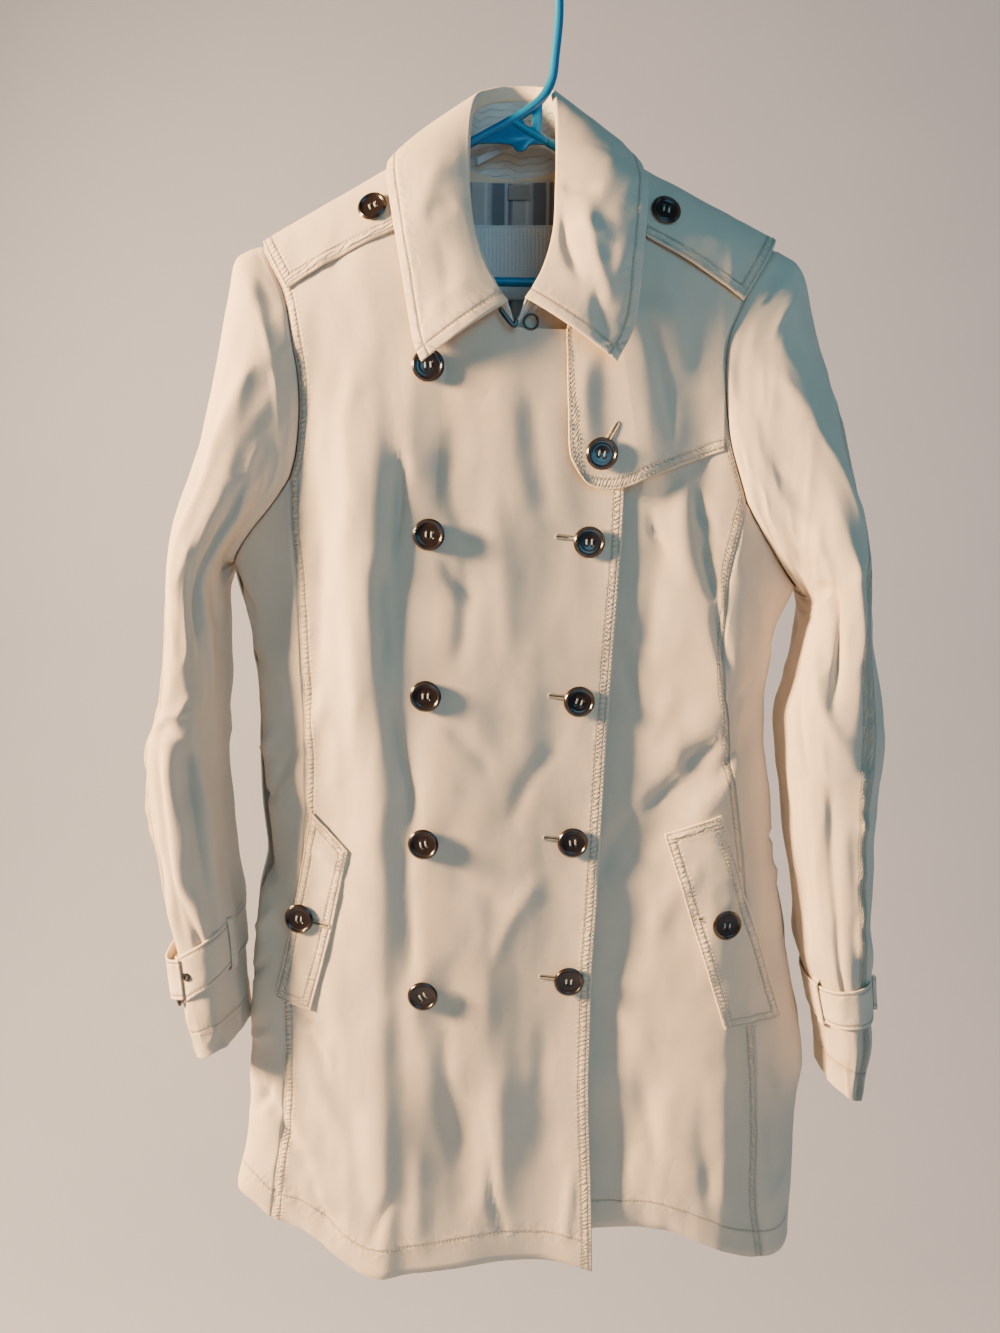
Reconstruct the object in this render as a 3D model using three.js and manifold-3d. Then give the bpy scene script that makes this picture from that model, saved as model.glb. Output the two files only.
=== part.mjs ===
// A double-breasted trench coat without a belt, buttoned, as it hangs on a tubular hanger.
// Millimetres, +Z up, +X to the right of someone who faces the coat, -Y to its front.
// The origin is the underside of the hanger hook's crown, where a rail holds it.
import * as THREE from 'three';
import * as BufferGeometryUtils from 'three/addons/utils/BufferGeometryUtils.js';
import Module from 'manifold-3d';

// Driving dimensions
const CLOTH = 1.6;
const TRIM = 0.22;
const SEAM_WIDTH = 0.5;
const LAID_ON = 3.2;
const WELT_ON = 2.6;
const SHOULDER_ROUND = 100;
const BODY_SQUARENESS = 0.62;
const SLEEVE_SQUARENESS = 0.85;
const BUTTON_RADIUS = 12.5;
const BUTTON_HEIGHT = 4.2;
const BUTTON_SIDES = 12;
const SMALL_BUTTON_RADIUS = 11.5;
const STRAP_WIDTH = 31;
const HANGER_RADIUS = 3.6;
const HANGER_SIDES = 8;
const WIRE_RADIUS = 0.9;

// How many rows and columns of cloth the shared seams are divided into
const LOW_ROWS = 16;
const ARMHOLE_FRONT = 6;
const ARMHOLE_UNDER = 4;
const ARMHOLE_BACK = 8;
const SHOULDER_PARTS = 5;
const NECK_PARTS = 5;
const BACK_NECK_PARTS = 6;
const OVERLAP_PARTS = 3;
const SLEEVE_RINGS = 22;

// The trunk at each height: its left and right edges seen from the front, and how deep
// the front and the back stand from the hanger's plane
const BODY = [
  { z: -1090, left: -263, right: 240, front: 47, back: 42 },
  { z: -1016, left: -257, right: 242, front: 47, back: 42 },
  { z: -968, left: -247, right: 244, front: 47, back: 42 },
  { z: -879, left: -242, right: 246, front: 47, back: 41 },
  { z: -812, left: -237, right: 233, front: 47, back: 40 },
  { z: -749, left: -229, right: 221, front: 47, back: 39 },
  { z: -716, left: -219, right: 215, front: 47, back: 39 },
  { z: -672, left: -223, right: 208, front: 47, back: 38 },
  { z: -594, left: -224, right: 198, front: 47, back: 38 },
  { z: -530, left: -230, right: 208, front: 47, back: 38 },
  { z: -490, left: -240, right: 224, front: 46, back: 38 },
  { z: -469, left: -244, right: 224, front: 46, back: 38 },
  { z: -200, left: -244, right: 224, front: 46, back: 38 },
];

// The line along the top of the shoulders, which the neck opening interrupts
const SHOULDER_LINE = [
  { x: -262, z: -245 },
  { x: -211, z: -218 },
  { x: -66, z: -140.5 },
  { x: -10, z: -114 },
  { x: 46, z: -146 },
  { x: 198, z: -221.5 },
  { x: 250, z: -247 },
];

// The largest folds: a soft ridge or trough from one point to another
const FRONT_FOLDS = [
  { x1: -122, z1: -300, x2: -134, z2: -640, width: 20, height: 5 },
  { x1: -98, z1: -380, x2: -107, z2: -560, width: 13, height: -5 },
  { x1: -107, z1: -560, x2: -88, z2: -700, width: 13, height: -4 },
  { x1: 130, z1: -330, x2: 163, z2: -560, width: 13, height: -4 },
  { x1: 170, z1: -600, x2: 66, z2: -740, width: 16, height: -5 },
  { x1: 176, z1: -572, x2: 96, z2: -640, width: 16, height: 4 },
  { x1: -232, z1: -905, x2: -150, z2: -1050, width: 20, height: 5 },
  { x1: 112, z1: -900, x2: 128, z2: -1060, width: 22, height: 4 },
  { x1: -60, z1: -860, x2: -40, z2: -1080, width: 24, height: -4 },
];
const BACK_FOLDS = [
  { x1: -120, z1: -330, x2: -150, z2: -720, width: 24, height: 5 },
  { x1: 96, z1: -300, x2: 128, z2: -700, width: 24, height: 5 },
  { x1: -40, z1: -520, x2: -70, z2: -1040, width: 26, height: 5 },
  { x1: 60, z1: -560, x2: 96, z2: -1050, width: 26, height: 5 },
  { x1: -190, z1: -620, x2: -100, z2: -760, width: 20, height: -4 },
];

// Outlines of the cut edges and seams, seen from the front
const FRONT_HEM = [
  [-224, -1042], [-191, -1051], [-158, -1071], [-135, -1080], [-91, -1076],
  [-22, -1070], [34, -1074], [58, -1080],
];
const UNDER_HEM = [
  [-100, -1048], [0, -1048], [68, -1045], [119, -1044], [151, -1053], [178, -1065], [212, -1080],
];
const SIDE_HEM_LEFT = [[-258, -1022], [-243, -1028], [-224, -1042]];
const SIDE_HEM_RIGHT = [[212, -1080], [228, -1080], [240, -1068]];
const BACK_HEM = [[-258, -1022], [-140, -1046], [0, -1052], [140, -1060], [240, -1068]];
const FRONT_EDGE = [
  [58, -1080], [56, -1000], [53, -907], [54, -863], [55, -806], [58, -750], [61, -681],
  [65, -600], [70, -520], [74, -460], [76, -402], [76, -350], [76, -293],
];
const PRINCESS_LEFT = [
  [-224, -1042], [-213, -964], [-207, -904], [-206, -823], [-196, -765], [-187, -714],
  [-182, -661], [-181, -578], [-184, -497], [-188, -440], [-188, -402],
];
const PRINCESS_RIGHT = [
  [212, -1080], [203, -1024], [200, -963], [196, -902], [192, -855], [182, -736],
  [174, -680], [164, -620], [157, -557], [160, -488], [167, -445], [172, -421],
];
const ARMHOLE_FRONT_LEFT = [
  [-188, -402], [-181, -379], [-178, -335], [-182, -301], [-191, -258], [-211, -218],
];
const ARMHOLE_FRONT_RIGHT = [
  [172, -421], [157, -369], [154, -301], [170, -262], [184, -240], [198, -221.5],
];
const ARMHOLE_UNDER_LEFT = [[-244, -469], [-230, -450], [-206, -425], [-188, -402]];
const ARMHOLE_UNDER_RIGHT = [[172, -421], [192, -452], [210, -474], [224, -490]];
const ARMHOLE_BACK_LEFT = [
  [-244, -469], [-226, -446], [-206, -412], [-196, -362], [-194, -310], [-200, -256], [-211, -218],
];
const ARMHOLE_BACK_RIGHT = [
  [224, -490], [206, -464], [186, -424], [176, -372], [176, -312], [184, -258], [198, -221.5],
];
const NECK_LEFT = [[-66, -140.5], [-65, -170], [-59, -205], [-46, -240], [-28, -268], [-10, -289]];
const NECK_RIGHT = [[-10, -289], [12, -272], [31, -245], [42, -213], [46, -180], [46, -146]];
const NECK_BACK = [
  [-66, -140.5], [-50, -151], [-30, -156], [-10, -157.5], [12, -156], [32, -152], [46, -146],
];

// A sleeve at each ring: the points of its outer and inner edge seen from the front,
// where its middle lies between front and back, and half its depth
const SLEEVE_LEFT = [
  { ox: -211, oz: -218, ix: -244, iz: -469, y: 0, half: 38 },
  { ox: -229, oz: -230, ix: -249, iz: -470, y: -3, half: 42 },
  { ox: -237, oz: -262, ix: -251, iz: -472, y: -4, half: 45 },
  { ox: -251, oz: -324, ix: -250, iz: -476, y: -5, half: 47 },
  { ox: -265, oz: -380, ix: -250, iz: -484, y: -6, half: 49 },
  { ox: -284, oz: -440, ix: -250, iz: -498, y: -7, half: 50 },
  { ox: -293, oz: -500, ix: -249, iz: -525, y: -8, half: 50 },
  { ox: -298, oz: -560, ix: -249, iz: -565, y: -8, half: 49 },
  { ox: -306, oz: -594, ix: -251, iz: -598, y: -8, half: 49 },
  { ox: -314, oz: -624, ix: -252, iz: -628, y: -9, half: 48 },
  { ox: -313, oz: -668, ix: -250, iz: -672, y: -9, half: 48 },
  { ox: -306, oz: -730, ix: -249, iz: -730, y: -10, half: 46 },
  { ox: -297, oz: -790, ix: -245, iz: -786, y: -10, half: 44 },
  { ox: -292, oz: -850, ix: -244, iz: -840, y: -10, half: 42 },
  { ox: -286, oz: -888, ix: -242, iz: -868, y: -10, half: 42 },
];
const SLEEVE_RIGHT = [
  { ox: 198, oz: -221.5, ix: 224, iz: -490, y: 0, half: 38 },
  { ox: 215, oz: -236, ix: 227, iz: -492, y: -3, half: 42 },
  { ox: 226, oz: -266, ix: 229, iz: -494, y: -5, half: 46 },
  { ox: 242, oz: -318, ix: 230, iz: -498, y: -8, half: 49 },
  { ox: 256, oz: -380, ix: 230, iz: -506, y: -11, half: 51 },
  { ox: 271, oz: -450, ix: 228, iz: -520, y: -13, half: 52 },
  { ox: 281, oz: -530, ix: 219, iz: -560, y: -15, half: 51 },
  { ox: 293, oz: -601, ix: 210, iz: -600, y: -16, half: 50 },
  { ox: 289, oz: -671, ix: 218, iz: -671, y: -17, half: 49 },
  { ox: 288, oz: -744, ix: 229, iz: -744, y: -18, half: 47 },
  { ox: 290, oz: -808, ix: 240, iz: -808, y: -18, half: 45 },
  { ox: 294, oz: -870, ix: 253, iz: -866, y: -18, half: 43 },
  { ox: 286, oz: -918, ix: 259, iz: -908, y: -18, half: 42 },
];

// The collar from the left tip round the neck to the right tip: its fold line (f) and its
// outer edge (e), where lift is the least height of that edge above the trunk's surface
const COLLAR = [
  { fx: -17, fy: -57, fz: -272, ex: -81, ey: -58, ez: -315, lift: 11.5 },
  { fx: -27, fy: -56, fz: -257, ex: -87, ey: -56, ez: -300, lift: 10.5 },
  { fx: -36, fy: -54, fz: -240, ex: -92, ey: -52, ez: -272, lift: 9 },
  { fx: -43, fy: -50, fz: -215, ex: -97, ey: -48, ez: -240, lift: 9 },
  { fx: -46, fy: -43, fz: -185, ex: -103, ey: -42, ez: -205, lift: 9 },
  { fx: -46, fy: -31, fz: -150, ex: -108, ey: -31, ez: -172, lift: 11 },
  { fx: -44, fy: -12, fz: -122, ex: -107, ey: 0, ez: -151, lift: 0 },
  { fx: -39, fy: 7, fz: -103, ex: -96, ey: 26, ez: -150, lift: 0 },
  { fx: -26, fy: 21, fz: -93, ex: -58, ey: 42, ez: -158, lift: 0 },
  { fx: -8, fy: 27, fz: -90, ex: -9, ey: 47, ez: -162, lift: 0 },
  { fx: 10, fy: 22, fz: -92, ex: 40, ey: 42, ez: -160, lift: 0 },
  { fx: 20, fy: 8, fz: -100, ex: 76, ey: 27, ez: -153, lift: 0 },
  { fx: 23, fy: -10, fz: -122, ex: 87, ey: 0, ez: -152, lift: 0 },
  { fx: 23, fy: -30, fz: -152, ex: 91, ey: -26, ez: -176, lift: 13 },
  { fx: 22, fy: -43, fz: -188, ex: 89, ey: -42, ez: -208, lift: 13 },
  { fx: 20, fy: -50, fz: -220, ex: 85, ey: -50, ez: -246, lift: 13 },
  { fx: 12, fy: -55, fz: -248, ex: 80, ey: -56, ez: -288, lift: 13 },
  { fx: -1, fy: -58, fz: -270, ex: 67, ey: -60, ez: -315, lift: 13 },
];
const COLLAR_PUFF = 6;

// The storm flap's outline: its edge by the neck, its loose lower edge and its two sides
const FLAP_NECK = [[29, -292], [38, -250], [48, -214], [51, -180], [52, -152]];
const FLAP_SHOULDER_END = [193, -222];
const FLAP_BOTTOM = [[40, -398], [50, -407], [64, -410], [77, -408], [99, -399], [133, -387], [153, -380]];
const FLAP_LEFT = [[40, -398], [33, -384], [31, -350], [29, -292]];
const FLAP_RIGHT = [[153, -380], [152, -341], [151, -301], [165, -265], [179, -243], FLAP_SHOULDER_END];

// Shoulder straps: at each end the place on top of the shoulder, where its front edge
// lies and how far below the shoulder line that edge is
const STRAP_LEFT = [{ x: -186, top: -208, below: 52 }, { x: -99, top: -99, below: 58 }];
const STRAP_RIGHT = [{ x: 88, top: 88, below: 56 }, { x: 164, top: 194, below: 63 }];

// Pocket welts: the four edges, the long ones running upwards
const WELT_LEFT = {
  bottom: [[-213, -836], [-181, -843]],
  top: [[-177, -672], [-145, -702]],
  left: [[-213, -836], [-192, -752], [-177, -672]],
  right: [[-181, -843], [-162, -776], [-145, -702]],
};
const WELT_RIGHT = {
  bottom: [[166, -857], [218, -854]],
  top: [[114, -690], [158, -673]],
  left: [[166, -857], [114, -690]],
  right: [[218, -854], [158, -673]],
};

// What shows inside the back of the neck: edges, how far in from the back's outer face
// the piece lies, and its thickness
const NECK_INSIDE = [
  { name: 'back_lining', left: -78, right: 58, high: -161, low: -330, inside: 3.4, thickness: 1.2 },
  { name: 'neck_label', left: -44, right: 40, high: -193, low: -252, inside: 5.4, thickness: 1 },
  { name: 'size_tab', left: -15, right: 4, high: -162, low: -173, inside: 5.5, thickness: 1 },
];

// Cuffs, in degrees round the sleeve and shares of its length: the strap's middle and how
// much it tilts (mm), its keeper loop, its loose end from one angle to another with the
// drop of its tip (mm), and the buckle
const LEFT_CUFF = {
  sleeveLength: 660, middle: 0.872, tilt: 14, keeper: 148, end: [62, -25], drop: -12, buckle: 40,
};
const RIGHT_CUFF = {
  sleeveLength: 690, middle: 0.865, tilt: -4, keeper: 150, end: [20, -40], drop: 30, buckle: -20,
};
const CUFF_LIFT = { strap: 2.3, keeper: 4.5, end: 8.2, buckle: 2.7 };
const EYELET_ANGLE = 72;
const EYELET_RADIUS = 4;
const EYELET_HOLE = 1.6;

// The hanger's bent tube after its hook: the stem, the left arm, the bar and the right arm
const HOOK_RADIUS = 25;
const HANGER_PATH = [
  [24, -50], [21.5, -75], [19, -93], [12, -106], [0, -116], [-18, -126], [-60, -147.5],
  [-120, -178.5], [-190, -214.5], [-203, -223], [-206, -233], [-196, -241], [-150, -243],
  [0, -245], [140, -247], [184, -247], [195, -240], [192, -229], [180, -220], [120, -190.5],
  [50, -156], [14, -138],
];
const HANGER_JOINT = [[17, -139.5], [4, -133], [-12, -123.5]];
const GUSSET = [
  [-46, -140.5], [-14, -141], [-8, -146], [-3, -146], [3, -141], [20, -141], [2, -128], [-8, -122],
];
const RIB = [[3, -134], [11, -138], [12, -106], [4, -112]];
const PLATE_THICKNESS = 3;

// Small trim at the neck: the hanging loop's arch seen from the front, the collar's wire
// hook, and its eye
const LOOP_ARCH = [[-40, -152], [-28, -146], [-12, -139], [6, -137], [18, -141], [26, -147]];
const LOOP_WIDTH = 5;
const LOOP_BEHIND = 13;
const LOOP_THICKNESS = 1.2;
const HOOK_PATH = [[-22, -58, -276], [-17, -58.5, -283], [-11, -58.5, -289], [-9, -57.5, -284]];
const EYE_RADIUS = 5.4;
const EYE_PLACE = [2, -51, -285];

// Buttons on the trunk: where the middle lies, and the radius
const BUTTONS = [
  { name: 'button_left_1', x: -76, z: -317, on: 'top' },
  { name: 'button_left_2', x: -76, z: -445, on: 'top' },
  { name: 'button_left_3', x: -80, z: -572, on: 'top' },
  { name: 'button_left_4', x: -83, z: -694, on: 'top' },
  { name: 'button_left_5', x: -85, z: -823, on: 'top' },
  { name: 'button_right_1', x: 57, z: -383, on: 'flap' },
  { name: 'button_right_2', x: 49, z: -451, on: 'top' },
  { name: 'button_right_3', x: 42, z: -578, on: 'top' },
  { name: 'button_right_4', x: 38, z: -695, on: 'top' },
  { name: 'button_right_5', x: 36, z: -815, on: 'top' },
  { name: 'button_shoulder_left', x: -117, z: -200, on: 'laid' },
  { name: 'button_shoulder_right', x: 102, z: -205, on: 'second' },
  { name: 'button_pocket_left', x: -187, z: -762, on: 'laid' },
  { name: 'button_pocket_right', x: 164, z: -765, on: 'welt' },
];

const STONE = new THREE.Color(0.84, 0.77, 0.66);
const MATERIALS = {
  cloth: new THREE.MeshStandardMaterial({ color: STONE, roughness: 0.75, side: THREE.DoubleSide }),
  stand: new THREE.MeshStandardMaterial({ color: 0xb4bcba, roughness: 0.8 }),
  lining: new THREE.MeshStandardMaterial({ color: 0x74777c, roughness: 0.7 }),
  label: new THREE.MeshStandardMaterial({ color: 0xa9acab, roughness: 0.8 }),
  button: new THREE.MeshStandardMaterial({ color: 0x1d1412, roughness: 0.2 }),
  metal: new THREE.MeshStandardMaterial({ color: 0x2c2a2a, roughness: 0.35, metalness: 0.9 }),
  plastic: new THREE.MeshStandardMaterial({ color: 0x0f78ad, roughness: 0.3 }),
};

const coat = new THREE.Group();

const mix = (a, b, t) => a + (b - a) * t;
const limit = (value, low, high) => Math.min(Math.max(value, low), high);

// 0 below nought, 1 above one, and a soft step between them.
function ease(value) {
  const t = limit(value, 0, 1);
  return t * t * (3 - 2 * t);
}

// A smooth curve through the values at the given stations, read at one place.
function smooth(stations, values, at) {
  const last = stations.length - 1;
  const place = limit(at, stations[0], stations[last]);
  let i = 0;
  while (i < last - 1 && place > stations[i + 1]) i += 1;
  const slope = (k) => {
    const before = Math.max(k - 1, 0);
    const after = Math.min(k + 1, last);
    return (values[after] - values[before]) / (stations[after] - stations[before]);
  };
  const span = stations[i + 1] - stations[i];
  const t = (place - stations[i]) / span;
  const rise = values[i + 1] - values[i];
  const start = slope(i) * span;
  const end = slope(i + 1) * span;
  const bow = t * t * (3 * rise - 2 * start - end);
  return values[i] + t * start + bow + t * t * t * (start + end - 2 * rise);
}

// A named column of a table of rows, read at a height.
function column(table, name, z) {
  return smooth(table.map((row) => row.z), table.map((row) => row[name]), z);
}

// Points along a smooth line through the given points; spread bends the spacing.
function along(points, parts, spread = (t) => t) {
  const stations = [0];
  for (let i = 1; i < points.length; i += 1) {
    const step = Math.hypot(points[i][0] - points[i - 1][0], points[i][1] - points[i - 1][1]);
    stations.push(stations[i - 1] + step);
  }
  const total = stations[stations.length - 1];
  return Array.from({ length: parts + 1 }, (_, k) => {
    const place = total * spread(k / parts);
    return points[0].map((_value, axis) => smooth(stations, points.map((p) => p[axis]), place));
  });
}

// Close steps at the end of a line, as the cloth turns over the shoulder there.
const closeAtEnd = (t) => 1 - (1 - t) ** 1.7;

function shoulderHeight(x) {
  const i = limit(SHOULDER_LINE.findIndex((p) => p.x > x), 1, SHOULDER_LINE.length - 1);
  const a = SHOULDER_LINE[i - 1];
  const b = SHOULDER_LINE[i];
  return mix(a.z, b.z, (x - a.x) / (b.x - a.x));
}

// The angle round the trunk of a point seen from the front: 0 at the left edge, pi at the right.
function roundAngle(x, z) {
  const left = column(BODY, 'left', z);
  const right = column(BODY, 'right', z);
  return Math.acos(limit((left + right - 2 * x) / (right - left), -1, 1));
}

function foldHeight(folds, x, z) {
  return folds.reduce((sum, fold) => {
    const dx = fold.x2 - fold.x1;
    const dz = fold.z2 - fold.z1;
    const lengthSquared = dx * dx + dz * dz;
    const t = ((x - fold.x1) * dx + (z - fold.z1) * dz) / lengthSquared;
    const across = ((x - fold.x1) * dz - (z - fold.z1) * dx) / Math.sqrt(lengthSquared) / fold.width;
    const fade = ease(t / 0.35) * ease((1 - t) / 0.35);
    return sum + fold.height * fade * Math.exp(-across * across);
  }, 0);
}

// The trunk's face at an angle and a height. It is a flattened oval that closes to
// a rounded edge along the shoulder line. side is -1 in front and 1 behind. A height
// above the shoulder line stands for the same way down on the other side of it.
function trunkPoint(side, angle, z) {
  const left = column(BODY, 'left', z);
  const right = column(BODY, 'right', z);
  const x = (left + right) / 2 - ((right - left) / 2) * Math.cos(angle);
  const below = (shoulderHeight(x) - z) / SHOULDER_ROUND;
  const turn = Math.sign(below) * Math.sqrt(1 - (1 - Math.min(Math.abs(below), 1)) ** 2);
  const rise = Math.sign(Math.sin(angle)) * Math.abs(Math.sin(angle)) ** BODY_SQUARENESS;
  const depth = column(BODY, side < 0 ? 'front' : 'back', z);
  const fold = foldHeight(side < 0 ? FRONT_FOLDS : BACK_FOLDS, x, z);
  const height = shoulderHeight(x) - SHOULDER_ROUND * Math.abs(below);
  return new THREE.Vector3(x, side * (depth + fold) * turn * rise, height);
}

function trunkNormal(side, angle, z) {
  const step = 0.6;
  const turn = 0.003;
  const acrossTrunk = trunkPoint(side, angle + turn, z).sub(trunkPoint(side, angle - turn, z));
  const upTrunk = trunkPoint(side, angle, z + step).sub(trunkPoint(side, angle, z - step));
  const normal = acrossTrunk.cross(upTrunk).multiplyScalar(-side);
  if (Math.abs(trunkPoint(side, angle, z).y) < SEAM_WIDTH) normal.y = 0;
  return normal.normalize();
}

// A grid of angle and height between four edges; left and right run upwards. Lines run
// straight from the bottom to the top, and bend only close to a side edge that bends.
const SIDE_FADE = 3;
function fillPatch(bottom, top, left, right) {
  const width = bottom.length - 1;
  const height = left.length - 1;
  return left.map((_row, r) => bottom.map((_point, c) => {
    const s = c / width;
    const t = (left[r][1] - left[0][1]) / (left[height][1] - left[0][1]);
    return [0, 1].map((axis) => {
      const bendLeft = left[r][axis] - mix(left[0][axis], left[height][axis], t);
      const bendRight = right[r][axis] - mix(right[0][axis], right[height][axis], t);
      const bend = bendLeft * (1 - s) ** SIDE_FADE + bendRight * s ** SIDE_FADE;
      return mix(bottom[c][axis], top[c][axis], t) + bend;
    });
  }));
}

// Spreads the lines of a front's grid away from its neck seam, more the further they run
// below it. away is -1 for the front on the left and 1 for the one on the right.
const NECK_SPREAD = 0.2;
function clearNeck(grid, seam, away) {
  const rows = [...seam].sort((a, b) => a[1] - b[1]);
  const top = grid[grid.length - 1];
  return grid.map((row, r) => row.map(([angle, z], c) => {
    if (r === grid.length - 1 || z < rows[0][1]) return [angle, z];
    const edge = smooth(rows.map((p) => p[1]), rows.map((p) => p[0]), z);
    const nearest = edge + away * NECK_SPREAD * (top[c][1] - z);
    const x = trunkPoint(-1, angle, z).x;
    return away * x < away * nearest ? [roundAngle(nearest, z), z] : [angle, z];
  }));
}

// Moves the rim of a grid of points inwards by the trim, so that neighbours don't touch.
function trimRim(grid, amount, closed = false) {
  const rows = grid.length - 1;
  const cols = grid[0].length - 1;
  const pull = (point, towards) => point.add(towards.clone().sub(point).setLength(amount));
  grid[0].forEach((point, c) => pull(point, grid[1][c]));
  grid[rows].forEach((point, c) => pull(point, grid[rows - 1][c]));
  if (closed) return;
  grid.forEach((row) => {
    pull(row[0], row[1]);
    pull(row[cols], row[cols - 1]);
  });
}

// A closed wall between an outer and an inner grid of points.
function wallGeometry(outer, inner, closed = false, flip = false) {
  const rows = outer.length;
  const cols = outer[0].length;
  const positions = [...outer.flat(), ...inner.flat()].flatMap((p) => [p.x, p.y, p.z]);
  const indices = [];
  const face = (a, b, c, d) => {
    const corners = flip ? [a, d, c, b] : [a, b, c, d];
    indices.push(corners[0], corners[1], corners[2], corners[0], corners[2], corners[3]);
  };
  const out = (r, c) => r * cols + (c % cols);
  const into = (r, c) => rows * cols + out(r, c);
  const span = closed ? cols : cols - 1;
  for (let r = 0; r < rows - 1; r += 1) {
    for (let c = 0; c < span; c += 1) {
      face(out(r, c), out(r, c + 1), out(r + 1, c + 1), out(r + 1, c));
      face(into(r, c), into(r + 1, c), into(r + 1, c + 1), into(r, c + 1));
    }
    if (!closed) {
      face(out(r, 0), out(r + 1, 0), into(r + 1, 0), into(r, 0));
      face(out(r, span), into(r, span), into(r + 1, span), out(r + 1, span));
    }
  }
  for (let c = 0; c < span; c += 1) {
    face(out(0, c), into(0, c), into(0, c + 1), out(0, c + 1));
    face(out(rows - 1, c), out(rows - 1, c + 1), into(rows - 1, c + 1), into(rows - 1, c));
  }
  const geometry = new THREE.BufferGeometry();
  geometry.setAttribute('position', new THREE.Float32BufferAttribute(positions, 3));
  geometry.setIndex(indices);
  return geometry;
}

// The grid's points moved in by a thickness against their outward directions.
function moveIn(grid, normals, thickness) {
  return grid.map((row, r) => row.map((point, c) => (
    point.clone().addScaledVector(normals[r][c], -thickness)
  )));
}

function addPiece(name, geometry, material) {
  const mesh = new THREE.Mesh(geometry, material);
  mesh.name = name;
  coat.add(mesh);
}

// A piece of cloth on the trunk from its grid of angle and height. lift is how far its
// face stands off the trunk at a point seen from the front.
function trunkCloth(name, side, grid, lift = () => 0, material = MATERIALS.cloth, thickness = CLOTH) {
  const normals = grid.map((row) => row.map(([angle, z]) => trunkNormal(side, angle, z)));
  const outer = grid.map((row, r) => row.map(([angle, z], c) => {
    const point = trunkPoint(side, angle, z);
    return point.addScaledVector(normals[r][c], lift(point.x, z));
  }));
  const edges = outer.map((row) => row.map((point) => point.clone()));
  trimRim(outer, TRIM);
  const inner = moveIn(outer, normals, thickness);
  addPiece(name, wallGeometry(outer, inner, false, side > 0), material);
  return { edges, normals };
}

const toAngles = (points) => points.map(([x, z]) => [roundAngle(x, z), z]);
const joinLines = (...lines) => lines.flatMap((line, i) => (i === 0 ? line : line.slice(1)));
const backwards = (line) => [...line].reverse();

// A side seam runs straight up at the trunk's edge, whose angle is given.
function sideSeam(angle, low, high) {
  return Array.from({ length: LOW_ROWS + 1 }, (_, k) => [angle, mix(low, high, k / LOW_ROWS)]);
}

// The closing: the front on the left laps over the one on the right, and its edge
// stands away from it more and more towards the hem.
const LAP_START = -165;
const LAP_LIFT = 3.8;
const LAP_FLARE = 7;
function lapLift(x, z) {
  const high = ease((-200 - z) / 60);
  const lapped = LAP_LIFT * ease((x - LAP_START) / 55);
  const flare = mix(0.8, LAP_FLARE, ease((-300 - z) / 780)) * ease((x - 10) / 60);
  return high * (lapped + flare);
}

// The storm flap lies on the front, over the lap's edge where the two meet, and a little
// proud beside the neck.
const FLAP_OVER_LAP = 5.2;
const FLAP_AT_NECK = 3.4;
function flapLift(x, z) {
  const overLap = FLAP_OVER_LAP * ease((128 - x) / 45) * ease((-258 - z) / 24);
  const atNeck = FLAP_AT_NECK * ease((96 - x) / 36) * ease((z + 290) / 40);
  return LAID_ON + overLap + atNeck;
}

const seamPrincessLeft = toAngles(along(PRINCESS_LEFT, LOW_ROWS));
const seamPrincessRight = toAngles(along(PRINCESS_RIGHT, LOW_ROWS));
const armholeFrontLeft = toAngles(along(ARMHOLE_FRONT_LEFT, ARMHOLE_FRONT, closeAtEnd));
const armholeFrontRight = toAngles(along(ARMHOLE_FRONT_RIGHT, ARMHOLE_FRONT, closeAtEnd));
const armholeBackLeft = toAngles(along(ARMHOLE_BACK_LEFT, ARMHOLE_BACK, closeAtEnd));
const armholeBackRight = toAngles(along(ARMHOLE_BACK_RIGHT, ARMHOLE_BACK, closeAtEnd));
const underLeft = toAngles(along(ARMHOLE_UNDER_LEFT, ARMHOLE_UNDER));
const underRight = toAngles(along(ARMHOLE_UNDER_RIGHT, ARMHOLE_UNDER));
const shoulderLeft = toAngles(along([[-211, -218], [-66, -140.5]], SHOULDER_PARTS));
const shoulderRight = toAngles(along([[46, -146], [198, -221.5]], SHOULDER_PARTS));
const neckLeft = toAngles(along(NECK_LEFT, NECK_PARTS));
const neckRight = toAngles(along(NECK_RIGHT, NECK_PARTS));
const neckBack = toAngles(along(NECK_BACK, BACK_NECK_PARTS));
const seamLeft = sideSeam(0, SIDE_HEM_LEFT[0][1], ARMHOLE_BACK_LEFT[0][1]);
const seamRight = sideSeam(Math.PI, SIDE_HEM_RIGHT[2][1], ARMHOLE_BACK_RIGHT[0][1]);
const FRONT_PARTS = SHOULDER_PARTS + NECK_PARTS + OVERLAP_PARTS;
const FRONT_ROWS = LOW_ROWS + ARMHOLE_FRONT;
const LOW_SHARE = 0.86;

// A free edge is divided as the seam across from it is: low rows first, then those by the armhole.
function frontEdgeRows(points) {
  return toAngles(along(points, FRONT_ROWS, (t) => {
    const low = LOW_ROWS / FRONT_ROWS;
    return t < low ? (t / low) * LOW_SHARE : mix(LOW_SHARE, 1, closeAtEnd((t - low) / (1 - low)));
  }));
}

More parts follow.
